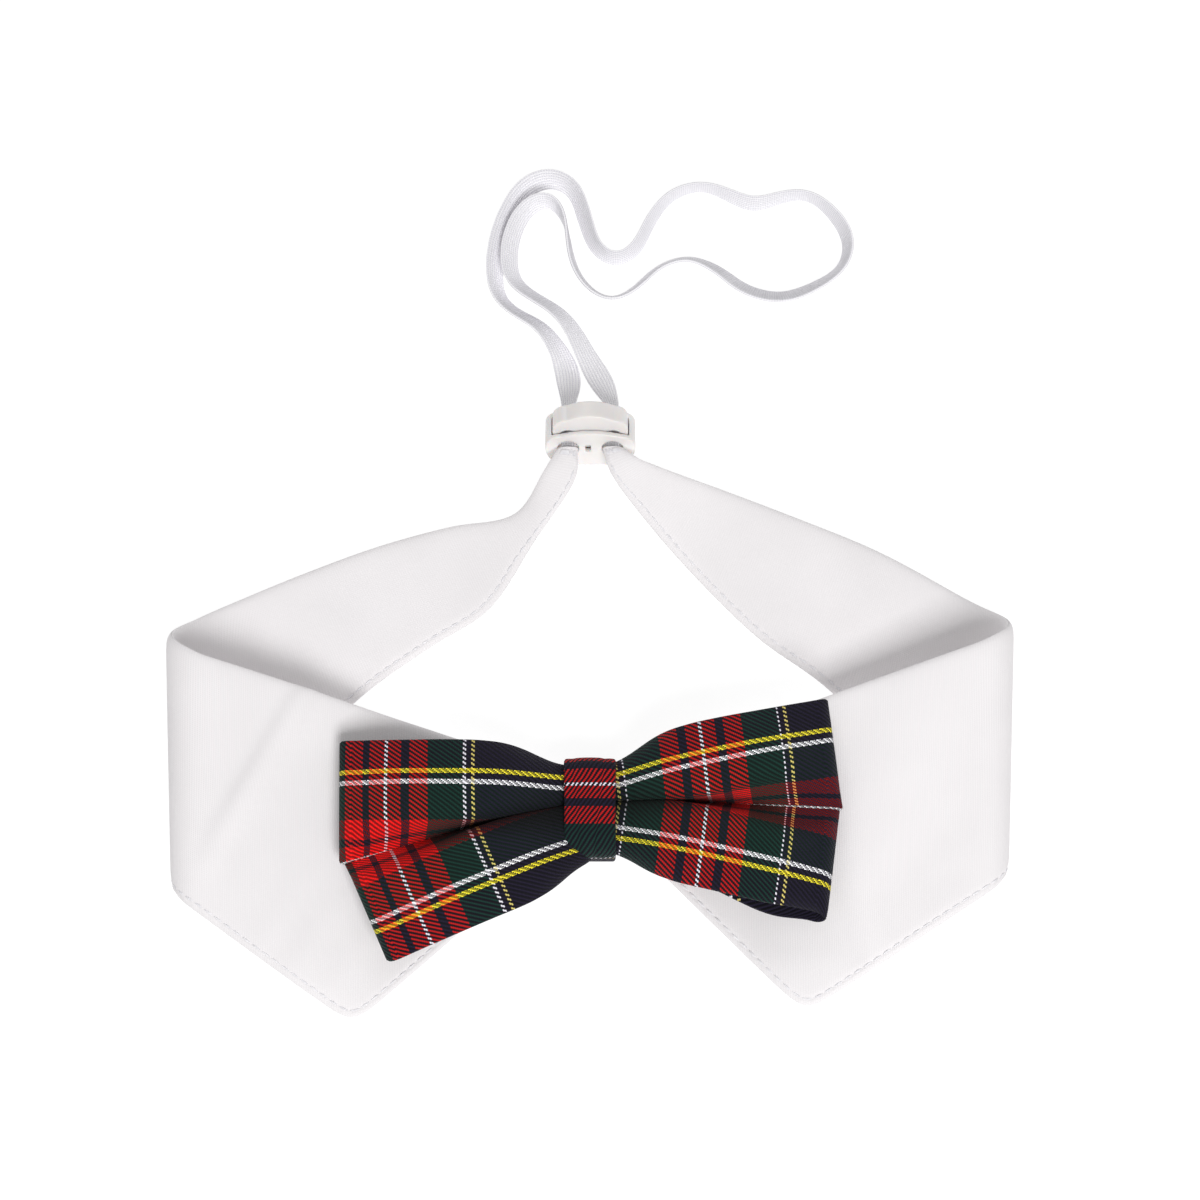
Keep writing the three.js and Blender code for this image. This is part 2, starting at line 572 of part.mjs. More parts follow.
// ---- Assembly ----
const bowTie = new THREE.Group();
bowTie.position.set(0, KNOT_Y, 0);
for (const [name, half] of Object.entries(HALVES)) {
  bowTie.add(...collarHalf(name, half), bartack(name, half), elasticTail(name, half));
  bowTie.add(topstitch(name, half, 'wing', 2, ZONES[0] + 6, true));
  bowTie.add(topstitch(name, half, 'strap', ZONES[0] + ZONES[1] + 1, U_STEPS - 3, false));
}
bowTie.add(...bow(), ...knot(), elasticCord());

const lock = new THREE.Group();
lock.position.set(0, LOCK_Y, LOCK_Z);
lock.rotation.x = TILT;
lock.add(lockBody(), lockButton(), lockSpring());
bowTie.add(lock);

const model = new THREE.Group();
model.add(bowTie);

export default model;
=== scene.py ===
# A pre-tied tartan bow tie sewn to a white two-wing collar, with a ribbed elastic and a sprung cord lock.
# Shapes are worked out in millimetres from the knot's centre, x to the right and y towards the straps, with
# the table at z = 0, and go into Blender in metres.
import math

import bpy
import numpy as np
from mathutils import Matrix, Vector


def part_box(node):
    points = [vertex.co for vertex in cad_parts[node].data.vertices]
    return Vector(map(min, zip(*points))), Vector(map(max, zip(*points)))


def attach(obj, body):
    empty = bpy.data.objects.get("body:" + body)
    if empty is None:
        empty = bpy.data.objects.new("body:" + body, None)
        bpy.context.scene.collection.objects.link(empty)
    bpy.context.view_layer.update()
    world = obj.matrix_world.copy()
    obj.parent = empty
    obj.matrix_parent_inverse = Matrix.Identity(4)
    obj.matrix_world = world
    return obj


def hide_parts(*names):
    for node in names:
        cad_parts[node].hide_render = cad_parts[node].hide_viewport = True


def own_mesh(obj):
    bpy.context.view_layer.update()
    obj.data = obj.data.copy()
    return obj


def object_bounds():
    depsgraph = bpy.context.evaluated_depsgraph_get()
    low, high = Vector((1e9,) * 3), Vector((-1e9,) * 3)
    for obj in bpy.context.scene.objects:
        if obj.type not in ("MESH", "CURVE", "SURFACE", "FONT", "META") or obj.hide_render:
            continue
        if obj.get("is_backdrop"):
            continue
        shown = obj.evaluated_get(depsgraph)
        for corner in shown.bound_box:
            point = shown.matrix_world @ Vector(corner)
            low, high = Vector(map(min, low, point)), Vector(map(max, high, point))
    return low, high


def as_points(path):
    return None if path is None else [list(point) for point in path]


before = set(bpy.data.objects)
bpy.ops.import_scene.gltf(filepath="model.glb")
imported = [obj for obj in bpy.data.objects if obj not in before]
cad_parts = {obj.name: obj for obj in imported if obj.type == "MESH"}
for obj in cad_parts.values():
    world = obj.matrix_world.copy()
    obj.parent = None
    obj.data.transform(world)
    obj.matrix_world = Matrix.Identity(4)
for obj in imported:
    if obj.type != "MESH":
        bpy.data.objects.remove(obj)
CAD_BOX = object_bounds()
MM = 0.001
knot_low, knot_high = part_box("knot_band")
KNOT_Y = (knot_low.y + knot_high.y) / 2 / MM  # the knot's centre in the frame

# ---- Collar and knot, as the CAD has them ----
GAP = 0.3
FABRIC = 0.5
INTERFACING = 0.8
LAMINATE = 2 * FABRIC + INTERFACING + 2 * GAP
FOLD_X = 86
FOLD_R_NECK = 7.6
FOLD_R_LOWER = 5
TIP_DROOP = 6
TIP_ROUND = 3.4
CENTRE_SEAM = 0.3
STITCH_INSET = 1.5
STITCH_PITCH = 2.6
KNOT_WIDTH = 11.3
KNOT_HEIGHT = 22.6
KNOT_BAND = 1.2
KNOT_BOTTOM = 1.1
KNOT_INSIDE = KNOT_HEIGHT / 2 - KNOT_BAND
TABLE_MID = LAMINATE / 2
CENTRE_MID = KNOT_BOTTOM + KNOT_BAND + GAP + LAMINATE / 2

# ---- Lock ----
LOCK_Y = 85.9
LOCK_TILT = math.radians(66)
HOLE_X = 5
HOLE_R = 2.4
LOCK_DEPTH = 7.8
STRAP_END = 4.4
LOCK_FRONT = LOCK_DEPTH / 2 + 0.6  # where the straps end, ahead of the lock's middle
STRAND_Y = 1
LOCK_BELOW = 6  # from the holes down to the body's foot
LOCK_LIFT = 1.7
LOCK_Z = LOCK_LIFT + LOCK_BELOW * math.sin(LOCK_TILT) + LOCK_DEPTH / 2 * math.cos(LOCK_TILT)

# ---- Elastic ----
ELASTIC_WIDTH = 6.4
ELASTIC = 0.8  # thick
ELASTIC_SQUEEZED = 3  # wide in the lock's holes
ELASTIC_STEP = 0.9
LOCK_RUN = 4.5  # straight behind the lock
STRIP_RIBS = 8
RIB_HEIGHT = 0.1
RIB_ALLOWANCE = 0.08  # so that the ribs' tops stay within the thickness


# ---- Helpers ----
def place(x, y, z):
    """A point in the frame's metres."""
    return (x * MM, (y + KNOT_Y) * MM, z * MM)


def add_to_scene(obj):
    bpy.context.scene.collection.objects.link(obj)
    return obj


def lerp(a, b, t):
    return a + (b - a) * t


def smoothstep(x, low, high):
    t = np.clip((np.asarray(x, float) - low) / (high - low), 0, 1)
    return t * t * (3 - 2 * t)


def stack(*parts):
    return np.stack(np.broadcast_arrays(*parts), axis=-1)


def unit(v):
    return v / np.maximum(np.linalg.norm(v, axis=-1, keepdims=True), 1e-9)


def catmull(points, t):
    """A centripetal Catmull-Rom curve through the points. t runs from 0 to 1."""
    p = np.asarray(points, float)
    p = np.vstack([2 * p[0] - p[1], p, 2 * p[-1] - p[-2]])
    count = len(points) - 1
    position = np.clip(np.asarray(t, float), 0, 1) * count
    seg = np.minimum(position.astype(int), count - 1)
    w = (position - seg)[..., None]
    x0, x1, x2, x3 = p[seg], p[seg + 1], p[seg + 2], p[seg + 3]

    def step(a, b):
        return np.maximum(np.linalg.norm(b - a, axis=-1, keepdims=True) ** 0.5, 1e-4)

    d0, d1, d2 = step(x0, x1), step(x1, x2), step(x2, x3)
    t1 = ((x1 - x0) / d0 - (x2 - x0) / (d0 + d1) + (x2 - x1) / d1) * d1
    t2 = ((x2 - x1) / d1 - (x3 - x1) / (d1 + d2) + (x3 - x2) / d2) * d1
    return x1 + t1 * w + (3 * (x2 - x1) - 2 * t1 - t2) * w**2 + (2 * (x1 - x2) + t1 + t2) * w**3


def smooth_rows(grid, reach, closed=False):
    """Softens a grid of points along its first axis, over reach rows each way."""
    kernel = np.hanning(2 * reach + 3)[1:-1]
    kernel /= kernel.sum()
    mode = "wrap" if closed else "edge"
    if closed:
        padded = np.concatenate([grid[-reach:], grid, grid[:reach]])
    else:
        start = 2 * grid[:1] - grid[1 : reach + 1][::-1]
        end = 2 * grid[-1:] - grid[-reach - 1 : -1][::-1]
        padded = np.concatenate([start, grid, end])
    out = np.zeros_like(grid)
    for k, weight in enumerate(kernel):
        out += weight * padded[k : k + len(grid)]
    return out


def normals(grid, closed=False):
    if closed:
        du = np.roll(grid, -1, 0) - np.roll(grid, 1, 0)
    else:
        du = np.gradient(grid, axis=0)
    dv = np.gradient(grid, axis=1)
    return unit(np.cross(du, dv))


def arc_length(line):
    steps = np.linalg.norm(np.diff(line, axis=0), axis=-1)
    return np.concatenate([[0], np.cumsum(steps)])


def resample(places, length, line):
    """The points of a line at those lengths along it."""
    return np.stack([np.interp(places, length, line[:, k]) for k in range(3)], axis=-1)


def two_faces(grid, out, high, low):
    """Sections of a sheet: its upper face, then its lower face backwards."""
    upper = grid + out * np.asarray(high)[..., None]
    lower = grid + out * np.asarray(low)[..., None]
    return np.concatenate([upper, lower[:, ::-1]], axis=1)


def round_edged(thickness, from_edge, radius):
    """Half the thickness of a sheet whose edge is round."""
    inward = np.minimum(from_edge / radius, 1)
    return thickness / 2 * np.sqrt(np.clip(1 - (1 - inward) ** 2, 0.02, 1))


def add_mesh(name, vertices, faces, uv=None, smooth=True):
    """A mesh object from points in mm. uv has one pair per vertex."""
    v = np.asarray(vertices, float) * MM
    v[:, 1] += KNOT_Y * MM
    mesh = bpy.data.meshes.new(name)
    mesh.from_pydata(v.tolist(), [], [list(map(int, f)) for f in faces])
    mesh.validate()
    if uv is not None:
        layer = mesh.uv_layers.new(name="cloth")
        index = np.zeros(len(mesh.loops), int)
        mesh.loops.foreach_get("vertex_index", index)
        layer.data.foreach_set("uv", np.asarray(uv, float)[index].ravel())
    mesh.polygons.foreach_set("use_smooth", [smooth] * len(mesh.polygons))
    mesh.update()
    return add_to_scene(bpy.data.objects.new(name, mesh))


def loft_faces(rows, columns, closed, base=0):
    """Quads of a tube whose sections have `columns` points, with flat caps unless it closes on itself."""
    faces = []
    for i in range(rows if closed else rows - 1):
        a = base + i * columns
        b = base + ((i + 1) % rows) * columns
        for j in range(columns):
            k = (j + 1) % columns
            faces.append((a + j, a + k, b + k, b + j))
    if not closed:
        for start, flip in ((base, False), (base + (rows - 1) * columns, True)):
            for j in range(columns // 2 - 1):
                quad = (start + j, start + columns - 1 - j, start + columns - 2 - j, start + j + 1)
                faces.append(quad[::-1] if flip else quad)
    return faces


def loft(name, sections, uv=None, closed=False):
    rows, columns, _ = sections.shape
    flat_uv = None if uv is None else uv.reshape(-1, 2)
    return add_mesh(name, sections.reshape(-1, 3), loft_faces(rows, columns, closed), flat_uv)


def join_lofts(name, parts, closed=False):
    """One object from many small lofts."""
    vertices = []
    faces = []
    for sections in parts:
        rows, columns, _ = sections.shape
        faces += loft_faces(rows, columns, closed, len(vertices))
        vertices += sections.reshape(-1, 3).tolist()
    return add_mesh(name, vertices, faces)


def round_tube(line, radius, sides=8, flat=1.0, up=None):
    """Sections of a round cord along a line; flat squeezes it along up."""
    tangent = unit(np.gradient(line, axis=0))
    if up is None:
        up = np.tile([0.0, 0.0, 1.0], (len(line), 1))
    across = unit(np.cross(tangent, up))
    up = np.cross(across, tangent)
    angle = 2 * math.pi * (np.arange(sides) + 0.5) / sides
    radius = np.broadcast_to(np.asarray(radius, float), (len(line),))[:, None, None]
    cosine, sine = np.cos(angle)[None, :, None], np.sin(angle)[None, :, None]
    return line[:, None] + radius * (cosine * across[:, None] + flat * sine * up[:, None])


# ---- Materials ----
class Nodes:
    """Short names for building a procedural material."""

    def __init__(self, name):
        self.material = bpy.data.materials.new(name)
        self.material.use_nodes = True
        self.tree = self.material.node_tree
        self.shader = self.tree.nodes["Principled BSDF"]

    def new(self, kind, **values):
        node = self.tree.nodes.new(kind)
        for key, value in values.items():
            setattr(node, key, value)
        return node

    def link(self, source, target):
        self.tree.links.new(source, target)

    def put(self, socket, value):
        if isinstance(value, (int, float, tuple)):
            socket.default_value = value
        else:
            self.link(value, socket)

    def math(self, operation, a, b=0.0, c=0.0):
        node = self.new("ShaderNodeMath", operation=operation)
        for socket, value in zip(node.inputs, (a, b, c)):
            self.put(socket, value)
        return node.outputs[0]

    def times(self, a, b):
        return self.math("MULTIPLY", a, b)

    def plus(self, a, b):
        return self.math("ADD", a, b)

    def scale_add(self, a, scale, b):
        return self.math("MULTIPLY_ADD", a, scale, b)

    def mix(self, factor, a, b, blend="MIX"):
        node = self.new("ShaderNodeMix", data_type="RGBA", blend_type=blend)
        self.put(node.inputs[0], factor)
        self.put(node.inputs[6], a)
        self.put(node.inputs[7], b)
        return node.outputs[2]

    def channel(self, colour, index):
        split = self.new("ShaderNodeSeparateColor")
        self.link(colour, split.inputs[0])
        return split.outputs[index]

    def cloth_uv(self):
        """The cloth's own coordinates in millimetres, along and across."""
        uv = self.new("ShaderNodeUVMap", uv_map="cloth")
        split = self.new("ShaderNodeSeparateXYZ")
        self.link(uv.outputs[0], split.inputs[0])
        return split.outputs[0], split.outputs[1], uv.outputs[0]

    def noise(self, scale, detail=2.0, roughness=0.5, vector=None):
        node = self.new("ShaderNodeTexNoise")
        for socket, value in (("Scale", scale), ("Detail", detail), ("Roughness", roughness)):
            node.inputs[socket].default_value = value
        if vector is None:
            vector = self.new("ShaderNodeTexCoord").outputs["Object"]
        self.link(vector, node.inputs["Vector"])
        return node.outputs["Fac"]

    def fade(self, value, start, end, first, last):
        """Runs smoothly from first to last as the value goes from start to end."""
        node = self.new("ShaderNodeMapRange", interpolation_type="SMOOTHSTEP")
        for socket, number in (("Value", value), ("From Min", start), ("From Max", end),
                               ("To Min", first), ("To Max", last)):
            self.put(node.inputs[socket], number)
        return node.outputs[0]

    def bump(self, height, strength, distance, after=None):
        node = self.new("ShaderNodeBump")
        node.inputs["Strength"].default_value = strength
        node.inputs["Distance"].default_value = distance
        self.link(height, node.inputs["Height"])
        if after is not None:
            self.link(after, node.inputs["Normal"])
        return node.outputs[0]

    def ramp(self, factor, stops, interpolation="LINEAR"):
        node = self.new("ShaderNodeValToRGB")
        node.color_ramp.interpolation = interpolation
        elements = node.color_ramp.elements
        while len(elements) < len(stops):
            elements.new(0.5)
        for element, (start, colour) in zip(elements, stops):
            element.position = start
            element.color = (*colour, 1)
        self.link(factor, node.inputs[0])
        return node.outputs[0]

    def base(self, factor, *stops):
        self.link(self.ramp(factor, stops), self.shader.inputs["Base Color"])

    def set(self, **values):
        """Sets the shader's sockets by name, and gives the finished material."""
        for key, value in values.items():
            self.put(self.shader.inputs[key.replace("_", " ")], value)
        return self.material


COTTON = (0.86, 0.835, 0.845)
COTTON_DARK = 0.92  # how dark its darkest tone is
COTTON_PITCH = 0.55  # one thread and its gap, in millimetres


def cotton(name):
    """Plain woven cotton: fine crossing threads with a faint rib, and slow changes of tone."""
    m = Nodes(name)
    u, v, uv = m.cloth_uv()
    warp = m.math("SINE", m.times(u, 2 * math.pi / COTTON_PITCH))
    weft = m.math("SINE", m.times(v, 2 * math.pi / (COTTON_PITCH * 0.8)))
    weave = m.plus(m.times(warp, 0.65), m.times(weft, 0.35))
    slub = m.noise(1.2, 3, 0.6, uv)
    height = m.plus(m.times(weave, 0.5), m.times(slub, 0.6))
    fine = m.bump(height, 0.35, 0.00012)
    soft = m.bump(m.noise(38, 3, 0.5), 0.35, 0.0012, fine)
    tone = m.noise(22, 3, 0.6)
    # The weave makes the colour darker between the threads, a painted shade; the noise is the cloth's own
    # uneven tone.
    shade = m.plus(m.times(weave, 0.14), tone)
    m.base(shade, (0.3, tuple(c * COTTON_DARK for c in COTTON)), (0.72, COTTON))
    m.set(Roughness=0.86, Specular_IOR_Level=0.25, Normal=soft)
    return m.set(Sheen_Weight=0.12, Sheen_Roughness=0.5)


RED = (0.80, 0.012, 0.012)
NAVY = (0.019, 0.014, 0.040)
GREEN = (0.008, 0.052, 0.038)
WHITE = (0.98, 0.98, 1.0)
YELLOW = (1.0, 0.86, 0.04)
WARP_WHITE = (0.72, 0.70, 0.76)  # the lines across the bow are duller than those along it
WARP_YELLOW = (0.66, 0.55, 0.16)
SHOW_THROUGH = 0.58  # how much of the thread below tints the one on top
RED_CHANNEL, GREEN_CHANNEL = 0, 1

# The sett from its centre line outwards, as (where each stripe ends, colour) in millimetres. It mirrors
# at the centre line and again at the middle of the last navy.
SETT_HALF = 34.6
WARP_SETT = [
    (0.3, WARP_WHITE), (3.3, RED), (4.9, NAVY), (8.9, RED), (16.75, GREEN), (17.2, WARP_WHITE),
    (18.5, NAVY), (18.95, WARP_YELLOW), (SETT_HALF, NAVY),
]
WEFT_SETT = [
    (0.4, WHITE), (3.3, RED), (4.9, NAVY), (8.9, RED), (16.3, GREEN), (17.3, WHITE),
    (18.45, NAVY), (19.45, YELLOW), (SETT_HALF, NAVY),
]
SETT_CENTRE = 25.4  # where a centre line falls along the bow, from the knot
WARP_PITCH = 0.36  # from thread to thread
WEFT_PITCH = 0.25
TWILL_REPEAT = 4.0  # threads; the warp is over for the first half of them
PLEAT_TAPER = 0.25  # how the cloth hidden in the pleat shrinks towards the bow's end
PLEAT_END = 56
PLEAT_SHADE = 0.85  # how much the painted shade darkens the pleat's inside at the knot
# where the pleat's painted shade fades out, in millimetres from the knot
PLEAT_SHADE_REACH = (18.0, 42.0)


def tartan(name):
    """A 2/2 twill whose warp and weft both carry the sett, each thread one colour, with painted light and
    shade on the weave's relief and painted shade inside the pleat.
    """
    m = Nodes(name)
    u, v, uv = m.cloth_uv()

    def thread(along, pitch, sett):
        number = m.math("FLOOR", m.math("DIVIDE", along, pitch))
        centre = m.times(m.plus(number, 0.5), pitch)
        within = m.math("FRACT", m.math("DIVIDE", along, pitch))
        round_top = m.math("SINE", m.times(within, math.pi))
        share = m.math("DIVIDE", m.math("PINGPONG", centre, SETT_HALF), SETT_HALF)
        starts = [0] + [end for end, _ in sett]
        stops = [(start / SETT_HALF, colour) for start, (_, colour) in zip(starts, sett)]
        return number, round_top, m.ramp(share, stops, "CONSTANT")

    from_centre = m.math("SUBTRACT", u, SETT_CENTRE)
    warp_number, warp_top, warp_colour = thread(from_centre, WARP_PITCH, WARP_SETT)
    weft_number, weft_top, weft_colour = thread(v, WEFT_PITCH, WEFT_SETT)
    turn = m.math("FLOORED_MODULO", m.plus(warp_number, weft_number), TWILL_REPEAT)
    # The light lines along the bow are thicker yarns, over three threads in four.
    light_weft = m.channel(weft_colour, GREEN_CHANNEL)
    warp_turns = m.scale_add(light_weft, -1.2, TWILL_REPEAT / 2)
    warp_over = m.math("LESS_THAN", turn, warp_turns)
    over = m.mix(warp_over, weft_colour, warp_colour)
    under = m.mix(warp_over, warp_colour, weft_colour)
    # A dark thread is dulled by what lies under it, and a light one is only tinted by red.
    light = m.channel(over, GREEN_CHANNEL)
    not_red = m.math("SUBTRACT", 1.0, m.channel(under, RED_CHANNEL))
    dulled = m.math("SUBTRACT", 1.0, m.times(light, not_red))
    colour = m.mix(m.times(dulled, SHOW_THROUGH), over, under, "MULTIPLY")
    height = m.new("ShaderNodeMix", data_type="FLOAT")
    m.put(height.inputs[0], warp_over)
    m.put(height.inputs[2], weft_top)
    m.put(height.inputs[3], warp_top)
    wale = m.plus(m.math("DIVIDE", from_centre, WARP_PITCH), m.math("DIVIDE", v, WEFT_PITCH))
    ridge = m.math("SINE", m.scale_add(wale, 2 * math.pi / TWILL_REPEAT, -math.pi / 4))
    relief = m.scale_add(ridge, 0.8, m.times(height.outputs[0], 0.6))
    fibre = m.noise(9, 3, 0.65, uv)
    # Painted light and shade of the weave: the colour is lighter on the threads' raised tops and darker in
    # the hollows between them.
    painted_light_and_shade = m.math("POWER", m.scale_add(relief, 0.5, 0.68), 1.8)
    # Painted shade: near the knot the inside of the bow's pleat is darkened in the colour, for the shadow
    # deep in the pleat.
    along = m.math("ABSOLUTE", u)
    pleat = m.math("MAXIMUM", m.scale_add(along, -PLEAT_TAPER, PLEAT_TAPER * PLEAT_END), 0.5)
    inside = m.fade(m.math("DIVIDE", m.math("ABSOLUTE", v), pleat), 0.8, 1.5, 1.0, 0.0)
    near_knot = m.fade(along, *PLEAT_SHADE_REACH, PLEAT_SHADE, 0.0)
    shade = m.math("SUBTRACT", 1.0, m.times(inside, near_knot))
    painted_light_and_shade = m.times(painted_light_and_shade, shade)
    # The painted light and shade, times the fibres' own uneven tone, then darkens or lightens every
    # thread's colour.
    tone = m.times(painted_light_and_shade, m.scale_add(fibre, 0.6, 0.74))
    grey = m.new("ShaderNodeCombineColor")
    for socket in grey.inputs:
        m.link(tone, socket)
    colour = m.mix(1.0, colour, grey.outputs[0], "MULTIPLY")
    m.link(colour, m.shader.inputs["Base Color"])
    bump = m.bump(m.plus(relief, m.times(fibre, 0.4)), 0.8, 0.00016)
    m.set(Roughness=0.8, Specular_IOR_Level=0.22, Normal=bump)
    return m.set(Sheen_Weight=0.04, Sheen_Roughness=0.4)


def elastic_band(name):
    """Braided elastic: ribs run along it, with fine cross threads between them."""
    m = Nodes(name)
    u, v, uv = m.cloth_uv()
    rib = m.math("SINE", m.times(v, 2 * math.pi * STRIP_RIBS / ELASTIC_WIDTH))
    cross = m.math("SINE", m.scale_add(u, 2 * math.pi / 0.55, m.times(rib, 1.2)))
    height = m.plus(m.times(rib, 0.5), m.times(cross, 0.3))
    bump = m.bump(height, 0.5, 0.00012)
    # Painted shade: the colour is darker in the grooves between the ribs and between the cross threads.
    shade = m.scale_add(rib, 0.3, m.scale_add(cross, 0.06, 0.5))
    m.base(shade, (0.14, (0.66, 0.65, 0.7)), (0.42, (0.9, 0.89, 0.91)), (0.8, (0.95, 0.94, 0.96)))
    return m.set(Roughness=0.7, Sheen_Weight=0.15, Specular_IOR_Level=0.3, Normal=bump)


def mottled(name, scale, detail, roughness, dark, light):
    """A material with its grain running between two tones, and that grain."""
    m = Nodes(name)
    grain = m.noise(scale, detail, roughness)
    m.base(grain, (0.3, dark), (0.7, light))
    return m, grain


def thread_finish(name):
    m, twist = mottled(name, 900, 2, 0.5, (0.74, 0.73, 0.76), (0.86, 0.85, 0.87))
    return m.set(Roughness=0.55, Sheen_Weight=0.1, Normal=m.bump(twist, 0.4, 0.0001))


def stiffener_finish(name):
    m, felt = mottled(name, 260, 4, 0.7, (0.6, 0.6, 0.58), (0.76, 0.76, 0.73))
    return m.set(Roughness=0.95, Normal=m.bump(felt, 0.5, 0.0002))


def plastic_finish(name):
    m, _ = mottled(name, 120, 3, 0.5, (0.78, 0.755, 0.74), (0.82, 0.795, 0.785))
    m.set(Subsurface_Weight=0.45, Subsurface_Radius=(1.0, 0.7, 0.5), Subsurface_Scale=0.0015)
    return m.set(Roughness=m.scale_add(m.noise(600, 3, 0.6), 0.14, 0.28), IOR=1.49,
                 Coat_Weight=0.08, Coat_Roughness=0.2, Normal=m.bump(m.noise(350, 3, 0.6), 0.06, 0.0003))


def steel_finish(name):
    m, drawn = mottled(name, 700, 3, 0.6, (0.5, 0.51, 0.53), (0.62, 0.63, 0.65))
    return m.set(Metallic=1.0, Roughness=m.scale_add(drawn, 0.2, 0.2))


FINISHES = {
    "collar_cloth": cotton, "tartan": tartan, "elastic": elastic_band, "thread": thread_finish,
    "stiffener": stiffener_finish, "lock_plastic": plastic_finish, "spring_steel": steel_finish,
}
MATERIALS = {slot: finish(slot) for slot, finish in FINISHES.items()}


def finish_piece(obj, slot, node, body="collar"):
    obj.data.materials.append(MATERIALS[slot])
    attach(obj, body)
    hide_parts(node)
    return obj


# ---- Camera, floor and light ----
CAMERA_TARGET = (2.2, 47.9, 8)
CAMERA_DISTANCE = 600
CAMERA_ELEVATION = math.radians(78)
LENS = 80.3
SENSOR_WIDTH = 36
FLOOR_HALF = 3.0
FLOOR_BELOW = 0.0002  # metres, so that the cloth never touches it


def make_camera():
    camera = bpy.data.objects.new("camera", bpy.data.cameras.new("camera"))
    camera.data.lens = LENS
    camera.data.sensor_width = SENSOR_WIDTH
    x, y, z = CAMERA_TARGET
    camera.location = place(x, y - CAMERA_DISTANCE * math.cos(CAMERA_ELEVATION),
                            z + CAMERA_DISTANCE * math.sin(CAMERA_ELEVATION))
    camera.rotation_euler = (math.pi / 2 - CAMERA_ELEVATION, 0, 0)
    bpy.context.scene.camera = add_to_scene(camera)


def area_light(name, location, size, watts):
    """A square light that points at the frame's origin."""
    light = bpy.data.lights.new(name, "AREA")
    light.size = size
    light.energy = watts
    obj = add_to_scene(bpy.data.objects.new(name, light))
    obj.location = location
    x, y, z = location
    obj.rotation_euler = (math.atan2(math.hypot(x, y), z), 0, math.atan2(-y, -x) - math.pi / 2)


def make_floor():
    """White paper that glows, so that it is as white as the photo's and still takes a faint shadow."""
    size = FLOOR_HALF
    corners = [(-size, -size, 0), (size, -size, 0), (size, size, 0), (-size, size, 0)]
    mesh = bpy.data.meshes.new("floor")
    mesh.from_pydata(corners, [], [(0, 1, 2, 3)])
    floor = add_to_scene(bpy.data.objects.new("floor", mesh))
    floor.location.z = -FLOOR_BELOW
    m, _ = mottled("floor", 180, 3, 0.5, (0.22, 0.22, 0.22), (0.24, 0.24, 0.24))
    m.set(Roughness=0.9, Emission_Color=(1.0, 1.0, 1.0, 1.0), Emission_Strength=0.86)
    floor.data.materials.append(m.material)
    floor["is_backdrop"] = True


def make_lights():
    area_light("key", (0.25, -0.8, 1.15), 0.6, 15.0)
    area_light("back", (-0.3, 1.05, 0.95), 0.8, 5.0)
    world = bpy.data.worlds.new("world")
    bpy.context.scene.world = world
    world.use_nodes = True
    background = world.node_tree.nodes["Background"]
    background.inputs["Color"].default_value = (1, 1, 1, 1)
    background.inputs["Strength"].default_value = 0.34
    bpy.context.scene.view_settings.view_transform = "Standard"
    bpy.context.scene.view_settings.look = "None"


make_camera()
make_floor()
make_lights()


# ---- Elastic ----
# The free elastic from the lock's left hole round to its right hole, as [x, y, z, tilt in degrees].
FREE_ROUTE = [
    [-4.9, 98.6, 4.5, 8], [-5.4, 103.2, 2.8, 26], [-7.9, 108.8, 2.9, 46],
    [-11.8, 113.8, 3, 55], [-17.2, 116.8, 3.1, 60], [-21.2, 120.6, 3.1, 60],
    [-22.3, 127, 3, 54], [-21.4, 134.5, 3, 52], [-19, 141.5, 3, 54],
    [-15.4, 147.2, 3.1, 58], [-9.8, 149.8, 3.2, 64], [-4.2, 147.3, 3.3, 66],
    [-1.2, 139.5, 3.3, 62], [1.3, 132.6, 3.3, 72], [5.9, 129.6, 3.4, 84],
    [10.6, 132.5, 3.3, 74], [14, 139.3, 3.3, 76], [18.7, 145.3, 3.4, 86],
    [26, 147.7, 3.4, 95], [32.3, 145.5, 3.4, 84], [38, 143.2, 3.3, 78],
    [44.2, 144.9, 3.4, 84], [50.4, 145.6, 3.4, 94], [56.3, 141.2, 3.4, 82],
    [60, 134.6, 3.3, 74], [58.6, 128.2, 3.4, 70], [52, 123.2, 3.3, 58],
    [44, 120.5, 3.3, 53], [35.7, 122.5, 3.3, 53], [29.2, 127.4, 3.3, 58],
    [22.6, 130, 3.4, 66], [15.8, 127.8, 3.4, 70], [10.3, 122.6, 3.4, 70],
    [5, 120, 3.4, 70], [0, 122.4, 3.3, 72], [-3.7, 127.8, 3.3, 76],
    [-5.1, 134, 3.4, 82], [-6.3, 140.4, 3.4, 92], [-9.9, 144.6, 3.4, 104],
    [-14.6, 142.6, 3.2, 114], [-17.8, 137.2, 3.1, 122], [-19, 130.8, 3, 126],
    [-17.8, 124.6, 3, 126], [-12.9, 120.6, 3, 122], [-7.6, 117.2, 3, 126],
    [-3.8, 112.4, 2.9, 132], [-1.4, 107.4, 2.9, 140], [1.1, 102.8, 2.7, 156],
    [3.1, 98.6, 4.5, 172],
]


def lock_line(x, ahead):
    """A point of the line through one of the lock's holes, with no tilt."""
    return [x, LOCK_Y + STRAND_Y * math.cos(LOCK_TILT) - ahead * math.sin(LOCK_TILT),
            LOCK_Z + STRAND_Y * math.sin(LOCK_TILT) + ahead * math.cos(LOCK_TILT), 0]


